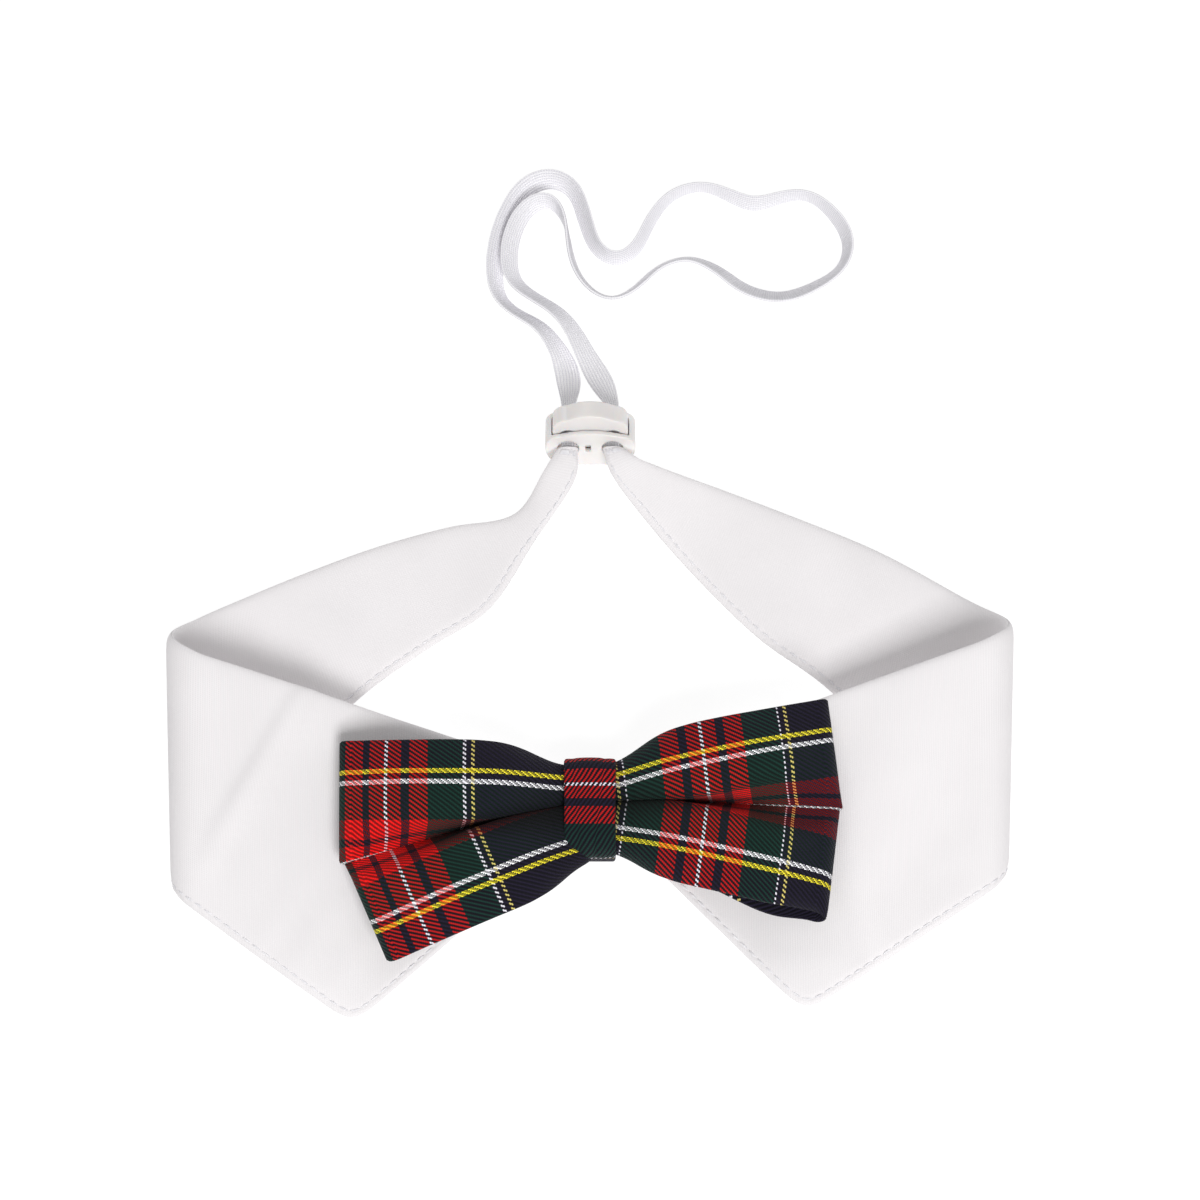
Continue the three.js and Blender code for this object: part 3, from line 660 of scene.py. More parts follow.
def strip_sections(rows, widths, step):
    """A ribbed flat band along rows of [x, y, z, tilt], with its cloth coordinates and its middle line."""
    rows = np.asarray(rows, float)
    fine = np.linspace(0, 1, 4000)
    length = arc_length(catmull(rows[:, :3], fine))
    along = np.linspace(0, length[-1], int(length[-1] / step) + 1)
    t = np.interp(along, length, fine)
    line = smooth_rows(catmull(rows[:, :3], t), 5)
    row = t * (len(rows) - 1)
    tilt = np.radians(np.interp(row, np.arange(len(rows)), rows[:, 3]))
    width = np.interp(row, np.arange(len(rows)), widths)
    tilt = smooth_rows(tilt[:, None], 6)
    width = smooth_rows(width[:, None], 4)
    ahead = unit(np.gradient(line, axis=0))
    across = unit(stack(-ahead[:, 1], ahead[:, 0], 0))
    up = unit(np.cross(ahead, across))
    side = across * np.cos(tilt) + up * np.sin(tilt)
    face = unit(np.cross(ahead, side))
    share = np.linspace(-0.5, 0.5, 4 * STRIP_RIBS + 1)
    rib = RIB_HEIGHT * np.cos(2 * math.pi * STRIP_RIBS * (share + 0.5 + 0.5 / STRIP_RIBS))
    edge = np.sqrt(np.clip(1 - (np.abs(share) * 2) ** 10, 0, 1))
    half = ((ELASTIC / 2 - RIB_ALLOWANCE + rib) * lerp(0.25, 1, edge))[None]
    middle = line[:, None] + side[:, None] * share[None, :, None] * width[:, None]
    v = (share + 0.5) * ELASTIC_WIDTH
    uv = stack(along[:, None], np.concatenate([v, v[::-1]])[None])
    return two_faces(middle, face[:, None], half, -half), uv, line


def make_elastic():
    def passage(x):
        back = -LOCK_DEPTH / 2
        return [lock_line(x, ahead) for ahead in (LOCK_FRONT, 0, back, back - LOCK_RUN)]

    turned_over = [[x, y, z, 180] for x, y, z, _ in passage(HOLE_X)[::-1]]
    rows = passage(-HOLE_X) + FREE_ROUTE + turned_over
    widths = np.full(len(rows), float(ELASTIC_WIDTH))
    widths[:4] = widths[-4:] = ELASTIC_SQUEEZED
    widths[4] = widths[-5] = lerp(ELASTIC_SQUEEZED, ELASTIC_WIDTH, 0.75)
    sections, uv, line = strip_sections(rows, widths, ELASTIC_STEP)
    obj = loft("elastic_band", sections, uv)
    finish_piece(obj, "elastic", "elastic_cord")
    path = [place(*p) for p in line[:-1:3]] + [place(*line[-1])]
    return obj, path, arc_length(line)[-1] * MM


elastic, elastic_path, ELASTIC_LENGTH = make_elastic()


# ---- Collar halves ----
# For each half: the neck and lower edges' and the front edge's lines on the wing, the size its cloth is cut
# to, in metres, and the strap's two edges from the fold to the lock, as [x, y, height above the table].
HALVES = {
    "left": {
        "mirror": -1, "neck": (0.95, 0.31), "front": (-1.1, -0.87), "lower": (-83.6, 0.717),
        "flat": (0.0686, 0.2225),
        "back_neck": [[86, 46.4, 0], [66, 55, 0], [48, 61.8, 0], [32, 66.2, 0.5], [17, 68.6, 3.5],
                      [10.3, 77.2, 10.4]],
        "back_lower": [[86, -10, 0], [53, 25.8, 0], [36, 38.5, 0], [23, 47, 0.5], [12.5, 62.5, 3.5],
                       [3.2, 75.5, 10.4]],
    },
    "right": {
        "mirror": 1, "neck": (0.68, 0.34), "front": (2.3, -0.98), "lower": (-74.6, 0.652),
        "flat": (0.0663, 0.2198),
        "back_neck": [[86, 49, 0], [66, 60.3, 0], [48, 68, 0], [31, 74.5, 0.8], [19.5, 77.6, 5.5],
                      [11, 79.6, 10.8]],
        "back_lower": [[86, -7, 0], [54, 28.5, 0], [38, 40.5, 0], [22.5, 56, 0.8], [11, 68.6, 5.5],
                       [4.6, 76.4, 10.8]],
    },
}
COLUMNS = (150, 44, 190)  # stations along the wing, the fold and the strap


def panel_middle(x, fold_radius):
    return lerp(CENTRE_MID, TABLE_MID + 2 * fold_radius, smoothstep(x, 0, FOLD_X))


def front_edges(half, x):
    """The wing's upper and lower edge; the lower one turns from the front edge round the tip."""
    neck = KNOT_INSIDE - half["neck"][0] + half["neck"][1] * (x - KNOT_WIDTH / 2)
    front = half["front"][0] + half["front"][1] * x
    lower = half["lower"][0] + half["lower"][1] * x
    return neck, (front + lower + np.hypot(front - lower, TIP_ROUND)) / 2


def wing_points(half, share, v):
    x = lerp(CENTRE_SEAM, FOLD_X, share)
    neck, low = front_edges(half, x)
    y = lerp(neck, low, v)
    neck_at_fold, low_at_fold = front_edges(half, FOLD_X)
    down = np.clip((neck_at_fold - y) / (neck_at_fold - low_at_fold), 0, 1)
    rise = panel_middle(x, lerp(FOLD_R_NECK, FOLD_R_LOWER, down))
    droop = TIP_DROOP * np.maximum(0, (-y - 8) / 37) ** 1.5 * (1 - smoothstep(x, 52, FOLD_X))
    return stack(x, y, rise - droop)


def fold_points(half, share, v):
    angle = math.pi * share
    neck, low = front_edges(half, FOLD_X)

    def edge(start, end, r):
        height = TABLE_MID + r * (1 + np.cos(angle))
        return stack(FOLD_X + r * np.sin(angle), lerp(start, end, share), height)

    a = edge(neck, half["back_neck"][0][1], FOLD_R_NECK)
    b = edge(low, half["back_lower"][0][1], FOLD_R_LOWER)
    return a + (b - a) * v[..., None]


def strap_points(half, share, v):
    _, lock_y, lock_z, _ = lock_line(HOLE_X, LOCK_FRONT)

    def edge(stations, side):
        points = [[FOLD_X if i == 0 else x, y, TABLE_MID + h] for i, (x, y, h) in enumerate(stations)]
        return catmull(points + [[HOLE_X + side * STRAP_END / 2, lock_y, lock_z]], share)

    a = edge(half["back_neck"], 1)
    b = edge(half["back_lower"], -1)
    q = a + (b - a) * v[..., None]
    q[..., 2] = np.maximum(q[..., 2], TABLE_MID)
    return q


def half_grid(half, v):
    """The half's middle surface at every station, for the shares v from the neck edge to the lower edge."""
    wing, fold, strap = COLUMNS
    parts = ((wing_points, np.linspace(0, 1, wing)), (fold_points, np.linspace(0, 1, fold + 1)[1:]),
             (strap_points, np.linspace(0, 1, strap + 1)[1:]))
    return np.concatenate([points(half, *np.broadcast_arrays(share[:, None], v[None]))
                           for points, share in parts])


# Rows across the collar, in millimetres from each edge, closer together where the seam and stitches are.
NECK_ROWS = np.array([0, 0.08, 0.2, 0.4, 0.7, 1.2, 2, 3.5])
LOWER_ROWS = np.array([0, 0.08, 0.2, 0.4, 0.65, 0.95, 1.2, 1.35, 1.5, 1.65, 1.8, 2.15, 2.7, 3.6, 5])
MIDDLE_ROWS = 18
EDGE_HALF = 0.26  # half the collar's thickness at its very edge
BODY_HALF = 1.2  # and well inside it
SWELL_REACH = 0.9
GROOVE_HALF = 0.38  # the dent the topstitching pulls
SEAM_SWELL = 0.12  # the puckers between the stitches and the edge
SEAM_AT = 0.75  # from the edge
STITCH_SINK = 0.1
CLOSING_TURNS = 22


def ripples(x, y, mirror):
    """How the cloth stands off its smooth surface: slow waves and one soft diagonal crease."""
    wave = 0.4 * np.sin(x / 9.5 + y / 17 + mirror) * np.sin(y / 12 - x / 31 + 0.6)
    wave += 0.2 * np.sin(x / 5.1 - y / 7.7 + 2 * mirror)
    pulls = np.exp(-(((y + 26) - (x - 60) * 0.2) / 9) ** 2) * np.exp(-(((x - 58) / 13) ** 2))
    wave += 0.3 * pulls * np.sin(x / 1.7 + y / 3.1)
    crease = np.exp(-(((x - 69.5) + (y - 13.5) * 0.565) / 2.8) ** 2)
    crease = crease * smoothstep(y, -20, 6) * (1 - smoothstep(y, 20, 33))
    return wave + (1.5 * crease if mirror < 0 else 0.3 * crease)


def make_half(name, half):
    side = half["mirror"]
    coarse = smooth_rows(half_grid(half, np.linspace(0, 1, 9)), 7)
    length = arc_length(coarse[:, 4])
    width = np.linalg.norm(coarse[:, 0] - coarse[:, -1], axis=-1, keepdims=True)
    along_edge = unit(np.gradient(coarse[:, -1], axis=0))
    along_v = unit(coarse[:, -1] - coarse[:, -2])
    slant = np.linalg.norm(np.cross(along_edge, along_v), axis=-1, keepdims=True).clip(0.35, 1)
    fit = np.minimum(1, width / 13)
    near = NECK_ROWS[None] * fit / width
    far = 1 - (LOWER_ROWS[None] / slant * fit / width)[:, ::-1]
    middle = lerp(near[:, -1:], far[:, :1], np.linspace(0, 1, MIDDLE_ROWS + 2)[None, 1:-1])
    v = np.concatenate([near, middle, far], axis=1)
    from_neck = v * width
    from_lower = (1 - v) * width * slant

    # The grid's points at those shares. Both halves are made to run to +x, and mirrored at the end.
    share = np.linspace(0, 1, coarse.shape[1])
    grid = np.stack([resample(v[i], share, coarse[i]) for i in range(len(coarse))])
    out = -normals(grid)  # towards the outer cloth
    station = np.arange(len(grid))
    on_wing = 1 - smoothstep(station, COLUMNS[0] - 8, COLUMNS[0] + COLUMNS[1] / 2)
    shelter = smoothstep(grid[..., 0], 26, 46)  # the bow lies on the wing's inner part
    lift = ripples(grid[..., 0], grid[..., 1], side) * shelter * on_wing[:, None]
    grid = grid + out * lift[..., None]
    out = -normals(grid)

    pucker = 0.5 + 0.5 * np.cos(2 * math.pi * length / STITCH_PITCH)
    edge_gap = np.minimum(from_neck, from_lower)
    body = EDGE_HALF + (BODY_HALF - EDGE_HALF) * (1 - np.exp(-edge_gap / SWELL_REACH))
    groove = (0.14 + 0.12 * pucker)[:, None] * np.exp(-((from_lower - STITCH_INSET) / GROOVE_HALF) ** 2)
    groove = groove * smoothstep(width, 9, 16)
    swell = SEAM_SWELL * np.exp(-((from_lower - SEAM_AT) / 0.4) ** 2) * (1 - pucker)[:, None]
    high = body - groove + swell
    low = np.maximum(high - FABRIC, 0.04)
    uv = stack(length[:, None], from_neck)
    mirror = np.array([side, 1, 1])

    def layer(label, sign, high, low, slot, node):
        sections = two_faces(grid, sign * out, high, low) * mirror
        both = np.concatenate([uv, uv[:, ::-1]], axis=1)
        if sign * side > 0:  # so that every face looks outwards
            sections = sections[:, ::-1]
            both = both[:, ::-1]
        obj = loft(f"collar_{name}_{label}", sections, both)
        return finish_piece(obj, slot, node)

    outer = layer("cloth", 1, high, low, "collar_cloth", f"collar_{name}_outer")
    lining = layer("under", -1, high, low, "collar_cloth", f"collar_{name}_lining")
    core_half = np.clip(np.minimum(low - 0.12, INTERFACING / 2), 0.02, None)  # clear of both cloths
    layer("stiffener", 1, core_half, -core_half, "stiffener", f"collar_{name}_interfacing")

    # Stitches lie in the groove on both faces, and each dips into the cloth at its two ends.
    row = v.shape[1] - len(LOWER_ROWS) + list(LOWER_ROWS[::-1]).index(STITCH_INSET)
    arch = np.sin(np.linspace(0, math.pi, 7))

    def stitches(first, last):
        parts = []
        for sign in (1, -1):
            up = sign * out[first:last, row]
            line = grid[first:last, row] + up * (high[first:last, row] + 0.06)[:, None]
            reach = arc_length(line)
            for start in np.arange(0.5, reach[-1] - STITCH_PITCH, STITCH_PITCH):
                places = np.linspace(start, start + STITCH_PITCH * 0.8, len(arch))
                lift = resample(places, reach, up)
                path = resample(places, reach, line) + lift * (0.14 * arch - STITCH_SINK)[:, None]
                parts.append(round_tube(path * mirror, 0.1 + 0.13 * arch, 6, 0.8, lift * mirror))
        return parts

    split = COLUMNS[0] + COLUMNS[1] // 2
    for part, first, last in (("wing", 8, split), ("strap", split, len(grid) - 14)):
        obj = join_lofts(f"stitches_{name}_{part}", stitches(first, last))
        finish_piece(obj, "thread", f"topstitch_{name}_{part}")

    # The closing stitches across the strap's end: a close zigzag on the lining.
    end_rows = slice(len(grid) - 12, len(grid) - 5)
    patch = grid[end_rows] - out[end_rows] * (high[end_rows] + 0.1)[..., None]
    turns = []
    for k in range(CLOSING_TURNS + 1):
        column = lerp(7, v.shape[1] - 8, k / CLOSING_TURNS)
        j = int(column)
        end = 0 if k % 2 == 0 else -1
        turns.append(lerp(patch[end, j], patch[end, j + 1], column - j))
    zigzag = catmull(np.array(turns), np.linspace(0, 1, CLOSING_TURNS * 6))
    obj = join_lofts(f"closing_stitches_{name}", [round_tube(zigzag * mirror, 0.14, 6)])
    finish_piece(obj, "thread", f"bartack_{name}")
    return outer, lining


halves = {name: make_half(name, half) for name, half in HALVES.items()}


# ---- Bow ----
CLOTH_HALF = 26  # half the ribbon's width
BOW_REACH = 51.5  # cloth from the knot's centre to the end fold
BOW_THICK = 1.0
BOW_TURN = 8.0  # cloth in the turn at each end
BOW_BULGE = 2.4  # how far each turn stands out
EDGE_ROLL = 3.4  # the radius that its long edges roll back by
PINCH_LOW = CENTRE_MID + LAMINATE / 2 + 2 * GAP + 0.8 + 0.5
PINCH_HIGH = PINCH_LOW + 6
# Each wing's side and direction, how far its axis lies above the knot's centre, and how far its back is
# tucked in at the knot and at the end. For each panel: how its fold line runs, how far its end slants, how
# much cloth the pleat hides at the end, and how far its outer edge rolls back there. Angles are in degrees.
WINGS = {
    "left": {
        "side": -1, "turn": 15.0, "rise": 2.4, "tuck": (-2.6, -1.4),
        "upper": {"angle": 15.0, "splay": 14.5, "hidden": 1.3, "roll": 0},
        "lower": {"angle": 8.1, "splay": 9.0, "hidden": 2.7, "roll": 0},
    },
    "right": {
        "side": 1, "turn": -2.3, "rise": 2.0, "tuck": (-2.4, 2.2),
        "upper": {"angle": 13.4, "splay": 9.0, "hidden": 3.0, "roll": 0},
        "lower": {"angle": 10.8, "splay": 5.6, "hidden": 2.7, "roll": 4.5},
    },
}


def fold_profile(cloth, hidden, slope, lip):
    """Across half the ribbon from the pleat's bottom: how far out each bit of cloth lies, and how low."""
    dive = hidden / (1 - math.cos(slope))
    angle = slope * (1 - smoothstep(cloth, dive - lip, dive + lip))
    step = np.diff(cloth)
    mid = (angle[1:] + angle[:-1]) / 2
    outward = np.concatenate([[0], np.cumsum(np.cos(mid) * step)])
    up = np.concatenate([[0], np.cumsum(np.sin(mid) * step)])
    return outward, up - up[-1]


def wing_section(wing, s, cloth):
    """One station of a wing's front: x along its axis, w across it, and height, for each bit of cloth."""
    near = smoothstep(s, 0, 7)
    out = []
    for sign, panel in ((-1, wing["lower"]), (1, wing["upper"])):
        a = np.abs(cloth[cloth > 0] if sign > 0 else cloth[cloth <= 0])
        phi = math.radians(panel["angle"])
        hidden = panel["hidden"] + (BOW_REACH - s) * math.tan(phi)
        slope = math.radians(lerp(88, 50, smoothstep(s, 14, BOW_REACH)))
        fine = np.linspace(0, CLOTH_HALF, 400)
        w_fine, z_fine = fold_profile(fine, hidden, slope, lerp(1.3, 3.0, s / BOW_REACH))
        w = np.interp(a, fine, w_fine)
        z = np.interp(a, fine, z_fine)
        deepest = lerp(5.0, 10.0, smoothstep(s, 3, 17)) * (1 - 0.58 * smoothstep(s, 28, BOW_REACH))
        z = -deepest * np.tanh(-z / deepest)
        # the outer edge rolls back near the knot
        w_edge = w_fine[-1]
        rolled = 7.8 * (1 - smoothstep(s, 5, 30)) + panel["roll"] * smoothstep(s, 30, BOW_REACH)
        past = np.maximum(0, w - (w_edge - rolled))
        w = np.where(past > 0, w - past + EDGE_ROLL * np.sin(past / EDGE_ROLL), w)
        z = z - EDGE_ROLL * (1 - np.cos(past / EDGE_ROLL)) * 0.8
        # each panel is crowned, and its free edge a little lower
        out_share = np.clip(w / max(w_edge, 1), 0, 1)
        crown = 1.5 * smoothstep(s, 6, 20) * (1 - 0.5 * smoothstep(s, 36, BOW_REACH))
        z = z + crown * np.sin(math.pi * out_share) - out_share**3 * smoothstep(s, 8, 25)
        spread = a - (panel["hidden"] + BOW_REACH * math.tan(phi))
        x = s * math.cos(phi) - spread * math.sin(math.radians(panel["splay"])) * near
        out.append((x, sign * w, z))
    return [np.concatenate([low, high]) for low, high in zip(out[0], out[1])]


# The bow's front and back, as (distance from the knot, height above the table).
FRONT_HEIGHT = [(0, 12.6), (5, 13.0), (9, 15.6), (14, 19.0), (22, 21.4), (32, 22.0), (42, 21.4), (48, 20.2),
                (51.5, 18.9)]
BACK_HEIGHT = [(0, 6.9), (6, 6.9), (14, 8.0), (22.5, 9.6), (38.5, 12.7), (47, 13.9), (51.5, 14.9)]


def soft_interp(x, table):
    """The table's height at x, averaged over 6 mm so that it has no corners."""
    xs, ys = zip(*table)
    return float(np.mean([np.interp(x + d, xs, ys) for d in (-3, -1.5, 0, 1.5, 3)]))


def make_wing(wing, stations, cloth):
    """The wing's front and back, one row a station, and the turn from one to the other at its end."""
    front = []
    back = []
    low_side = np.clip(-cloth / CLOTH_HALF, 0, 1) ** 0.5
    for s in stations:
        x, w, z = wing_section(wing, s, cloth)
        turn = math.radians(lerp(6, wing["turn"], smoothstep(s, 0, 7)))
        along = wing["side"] * np.array([math.cos(turn), math.sin(turn)])
        up = np.array([-math.sin(turn), math.cos(turn)])
        plan = x[:, None] * along + w[:, None] * up + np.array([0, wing["rise"]])
        tuck = lerp(*wing["tuck"], smoothstep(s, 22, 46)) * smoothstep(s, 0, 8)
        under = plan - (tuck * low_side)[:, None] * up
        ripple = 0.22 * np.sin(s / 3.7 + cloth / 4.1 * wing["side"]) * smoothstep(s, 8, 20)
        z_front = soft_interp(s, FRONT_HEIGHT) + z + ripple
        z_back = soft_interp(s, BACK_HEIGHT) + 0.25 * z * smoothstep(s, 30, 5)
        z_back = z_back + 0.1 * np.sin(cloth / 3 + s / 5)
        z_back = z_back + 0.6 * (cloth / CLOTH_HALF) ** 2 * smoothstep(s, 10, 40)
        front.append(stack(plan[:, 0], plan[:, 1], z_front))
        back.append(stack(under[:, 0], under[:, 1], np.minimum(z_back, z_front - 1.6)))
    way = unit(front[-1] - front[-3])
    way[:, 2] = 0
    way = unit(way) * BOW_BULGE
    turn_rows = [lerp(back[-1], front[-1], (1 + math.cos(angle)) / 2) + way * math.sin(angle)
                 for angle in np.linspace(0, math.pi, 12)[1:-1]]
    return np.array(front), np.array(turn_rows), np.array(back)


def make_bow():
    cloth = np.linspace(-CLOTH_HALF, CLOTH_HALF, 131)
    stations = np.concatenate([np.arange(0, 10, 0.8), np.arange(10, BOW_REACH, 0.7), [BOW_REACH]])
    left, right = (make_wing(WINGS[name], stations, cloth) for name in ("left", "right"))
    # Round the whole band: the right wing's front, turn and back, and the left wing's back, turn and front.
    grid = np.concatenate([*right[:2], right[2][::-1], left[2][1:], left[1][::-1], left[0][::-1][:-1]])
    grid = smooth_rows(grid, 2, closed=True)
    out = normals(grid, closed=True)
    if out[5, len(cloth) // 2 + 30, 2] < 0:  # a point on the front
        out = -out
    turn = BOW_REACH + np.linspace(0, BOW_TURN, 12)[1:-1]
    behind = 2 * BOW_REACH + BOW_TURN - stations
    along = np.concatenate([stations, turn, behind[::-1], -behind[1:], -turn[::-1], -stations[::-1][:-1]])
    # The ribbon is a flat tube: two layers that meet in a rounded edge.
    half = round_edged(BOW_THICK, np.minimum(cloth + CLOTH_HALF, CLOTH_HALF - cloth), 0.5)
    uv = stack(along[:, None], np.concatenate([cloth, cloth[::-1]])[None])
    obj = loft("bow_ribbon", two_faces(grid, out, half, -half), uv, closed=True)
    finish_piece(obj, "tartan", "bow_loop")
    inner = slice(9, -9)
    core = two_faces(grid[:, inner] - out[:, inner], out[:, inner], 0.15, -0.15)
    lining = loft("bow_lining", core, closed=True)
    finish_piece(lining, "stiffener", "bow_interlining")
    return obj


bow = make_bow()


# ---- Knot ----
KNOT_TOP = 16.0
KNOT_SHRINK = 0.955  # the band is this much shorter than its CAD, from its upper edge
KNOT_SETT_Y = 4.8  # where a centre line of the sett crosses the knot


def ring_line(half_height, low, high, low_radius, high_radius, count):
    """A rectangle with round corners in the y-z plane, at even steps, from the middle of its front."""
    upper, lower = (high - high_radius, high_radius), (low + low_radius, low_radius)
    corners = [(half_height, *upper), (half_height, *lower), (-half_height, *lower), (-half_height, *upper)]
    line = [(0, 0, high)]
    for quarter, (y, z, r) in enumerate(corners):
        for k in range(13):
            angle = math.pi / 2 * (1 - quarter - k / 12)
            line.append((0, y - math.copysign(r, y) + r * math.cos(angle), z + r * math.sin(angle)))
    line = np.array(line + line[:1])
    length = arc_length(line)
    places = np.linspace(0, length[-1], count + 1)[:-1]
    return resample(places, length, line), places, length[-1]


def make_knot():
    middle = KNOT_BAND / 2
    top = KNOT_HEIGHT / 2
    line, places, total = ring_line(top - middle, KNOT_BOTTOM + middle, KNOT_TOP - middle, 1.8, 4.2, 240)
    line[:, 1] = lerp(top, line[:, 1], KNOT_SHRINK)
    share = np.linspace(-1, 1, 41)
    front = smoothstep(line[:, 2], 8, 15)[:, None]
    x = share[None] * (KNOT_WIDTH / 2) * (1 - 0.015 * front * np.cos(line[:, 1:2] / 4))
    tangent = unit(np.roll(line, -1, 0) - np.roll(line, 1, 0))
    outward = unit(np.cross(tangent, np.array([1.0, 0, 0])))
    if outward[0, 2] < 0:
        outward = -outward
    crown = 0.55 * (1 - share**2)[None] * front + 0.5 * np.exp(-(line[:, 1:2] / 8) ** 2) * front
    crease = -0.22 * np.exp(-((share[None] - 0.35 - 0.02 * line[:, 1:2]) / 0.12) ** 2) * front
    crease = crease - 0.16 * np.exp(-((share[None] + 0.5 + 0.015 * line[:, 1:2]) / 0.14) ** 2) * front
    grid = line[:, None] + stack(x, 0, 0) + outward[:, None] * (crown + crease)[..., None]
    half = round_edged(KNOT_BAND, (1 - np.abs(share)) * KNOT_WIDTH / 2, 0.6)
    out = normals(grid, closed=True)
    if out[0, 20, 2] < 0:
        out = -out
    # Its length runs along the same threads as the bow's, so the sett's cross lines lie level on it.
    u = SETT_CENTRE - KNOT_SETT_Y + np.where(places > total / 2, places - total, places)
    v = SETT_HALF - share * KNOT_WIDTH / 2
    uv = stack(u[:, None], np.concatenate([v, v[::-1]])[None])
    obj = loft("knot_wrap", two_faces(grid, out, half, -half), uv, closed=True)
    return finish_piece(obj, "tartan", "knot_band")


def make_gather_thread():
    """Four windings of thread side by side round the pinched ribbon."""
    clear = 0.4 + GAP
    low, high = PINCH_LOW - BOW_THICK / 2 - clear, PINCH_HIGH + BOW_THICK / 2 + clear
    line, _, _ = ring_line(KNOT_INSIDE - 2 * GAP - 0.8 + clear, low, high, 0.9, 0.9, 90)
    line = np.vstack([line[-1:], line, line[:1]])
    parts = []
    for offset in (-0.6, -0.2, 0.2, 0.6):
        winding = line + np.array([offset, 0, 0])
        parts.append(round_tube(winding, 0.2, up=np.tile([1.0, 0, 0], (len(line), 1)))[1:-1])
    obj = join_lofts("gather_windings", parts, closed=True)
    finish_piece(obj, "thread", "gather_thread")


knot = make_knot()
make_gather_thread()


# ---- Cord lock ----
LOCK_ABOVE = 4.6
BUTTON_TOP = 8.8
BUTTON_HALF = 8.5
BUTTON_DEPTH = 4.8
BUTTON_FOOT = 1.3
BUTTON_CLEARANCE = 0.25
LOCK_FLOOR = 1.0
LOCK_HALF = 10.2
SPRING_TURNS = 2.5
SPRING_R = 1.9
SPRING_WIRE = 0.175  # its radius
MOULD_GRAIN = 0.2
MOULD_ROUNDS = 9


def lock_frame(points):
    """From the lock's own frame, x across, y along the button and z along the holes, to the collar's."""
    x, y, z = np.moveaxis(np.asarray(points, float), -1, 0)
    c, s = math.cos(LOCK_TILT), math.sin(LOCK_TILT)
    return stack(x, LOCK_Y + y * c - z * s, LOCK_Z + y * s + z * c)


def prism(name, outline, low, high):
    n = len(outline)
    vertices = [(x, y, low) for x, y in outline] + [(x, y, high) for x, y in outline]
    faces = [tuple(range(n))[::-1], tuple(range(n, 2 * n))]
    faces += [(i, (i + 1) % n, n + (i + 1) % n, n + i) for i in range(n)]
    return add_mesh(name, lock_frame(vertices), faces, smooth=False)


def box_outline(x0, y0, x1, y1):
    return [(x0, y0), (x1, y0), (x1, y1), (x0, y1)]


def arc(x, y, rx, ry, start, turn, steps=12):
    angles = [start + turn * k / steps for k in range(steps + 1)]
    return [(x + rx * math.cos(a), y + ry * math.sin(a)) for a in angles]


def holes(y):
    """Cutters for the lock's two holes, at that height in its own frame."""
    return [prism("hole", arc(x, y, HOLE_R, HOLE_R, 0, 2 * math.pi, 48)[:-1], -LOCK_DEPTH, LOCK_DEPTH)
            for x in (-HOLE_X, HOLE_X)]


def crowned_outline(half, low, high, crown, low_radius, low_height, high_radius):
    """A shape with a domed top and round corners; the lower corners may be wider or narrower than tall."""
    quarter = math.pi / 2
    right = arc(half - low_radius, low + low_height, low_radius, low_height, -quarter, quarter)
    right += arc(half - high_radius, high - high_radius, high_radius, high_radius, 0, quarter)
    across = [1 - 2 * k / 20 for k in range(1, 20)]
    top = [((half - high_radius) * t, high + crown * (1 - t * t)) for t in across]
    return right + top + [(-x, y) for x, y in right[::-1]]


def carve(obj, cutters):
    """Cuts the holes, then rounds every edge the way a moulding's are."""
    for cutter in cutters:
        cut = obj.modifiers.new("cut", "BOOLEAN")
        cut.operation = "DIFFERENCE"
        cut.solver = "EXACT"
        cut.object = cutter
    mould = obj.modifiers.new("mould", "REMESH")
    mould.mode = "VOXEL"
    mould.voxel_size = MOULD_GRAIN * MM
    mould.use_smooth_shade = True
    soften = obj.modifiers.new("soften", "SMOOTH")
    soften.factor = 0.5
    soften.iterations = MOULD_ROUNDS
    evaluated = obj.evaluated_get(bpy.context.evaluated_depsgraph_get())
    mesh = bpy.data.meshes.new_from_object(evaluated)
    obj.modifiers.clear()
    obj.data = mesh
    for cutter in cutters:
        bpy.data.objects.remove(cutter)
    mesh.polygons.foreach_set("use_smooth", [True] * len(mesh.polygons))


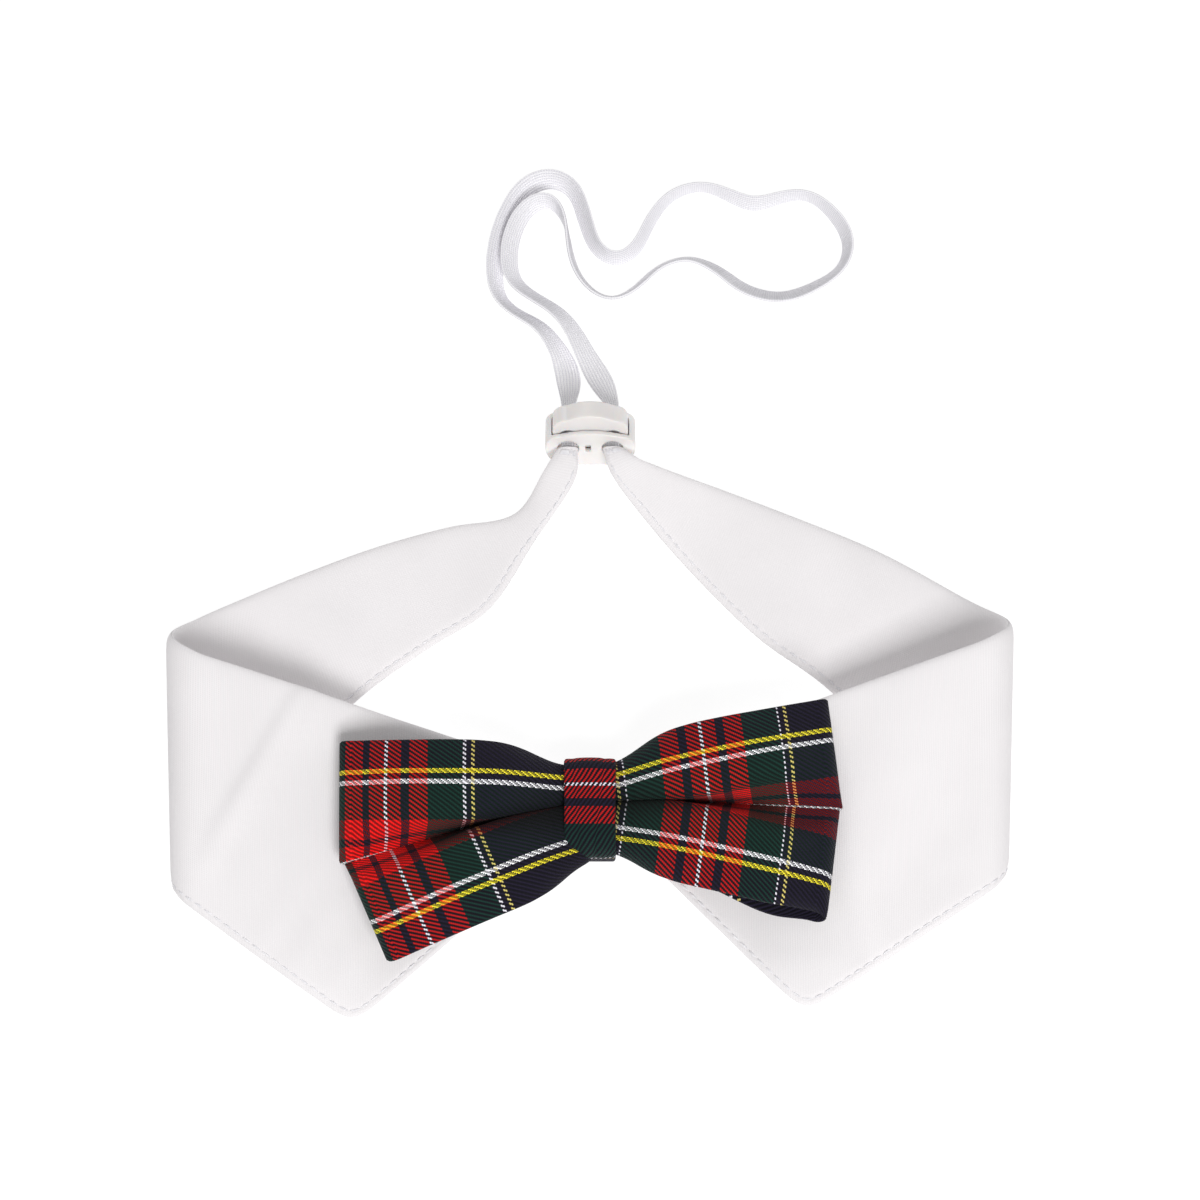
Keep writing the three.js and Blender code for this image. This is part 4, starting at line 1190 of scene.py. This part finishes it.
def make_body():
    outline = crowned_outline(LOCK_HALF, -LOCK_BELOW, LOCK_ABOVE - 0.6, 1.1, 5.0, 5.8, 3.4)
    body = prism("lock_shell", outline, -LOCK_DEPTH / 2, LOCK_DEPTH / 2)
    room = BUTTON_HALF + BUTTON_CLEARANCE
    deep = BUTTON_DEPTH / 2 + BUTTON_CLEARANCE
    shaft = box_outline(-room, -LOCK_BELOW + LOCK_FLOOR, room, LOCK_ABOVE + 3)
    cavity = prism("cavity", shaft, -deep, deep)
    window = prism("window", box_outline(-1.1, -1.2, 0.1, 1.2), 0, LOCK_DEPTH)
    carve(body, [cavity, *holes(0), window])
    return finish_piece(body, "lock_plastic", "lock_body", "lock")


def make_button():
    shape = crowned_outline(BUTTON_HALF, -BUTTON_FOOT, BUTTON_TOP - 0.9, 1.5, 0.9, 0.9, 3.2)
    button = prism("lock_push", shape, -BUTTON_DEPTH / 2, BUTTON_DEPTH / 2)
    carve(button, holes(2))
    return finish_piece(button, "lock_plastic", "lock_button", "button")


def make_spring():
    low = -LOCK_BELOW + LOCK_FLOOR + SPRING_WIRE + GAP
    high = -BUTTON_FOOT - SPRING_WIRE - GAP
    t = np.linspace(0, 1, 150)
    angle = 2 * math.pi * SPRING_TURNS * t
    helix = stack(SPRING_R * np.cos(angle), lerp(low, high, t), SPRING_R * np.sin(angle))
    coil = join_lofts("lock_coil", [round_tube(lock_frame(helix), SPRING_WIRE, 10)])
    finish_piece(coil, "spring_steel", "lock_spring", "lock")
    place(*lock_frame((0, low, 0)))
    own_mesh(coil)
    return coil


lock_body = make_body()
lock_button = make_button()
lock_coil = make_spring()


# ---- The tails sewn into the straps ----
for side in ("left", "right"):
    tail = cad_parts[f"elastic_tail_{side}"]
    tail.data.materials.clear()
    tail.data.materials.append(MATERIALS["elastic"])

# ---- The elastic's exit point at the lock, and its path as lists of points ----
exit_point = place(*lock_line(-HOLE_X, LOCK_FRONT)[:3])
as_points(elastic_path)

boxes = {"cad": CAD_BOX, "visual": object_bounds()}
{key: [[float(x) for x in corner] for corner in box] for key, box in boxes.items()}
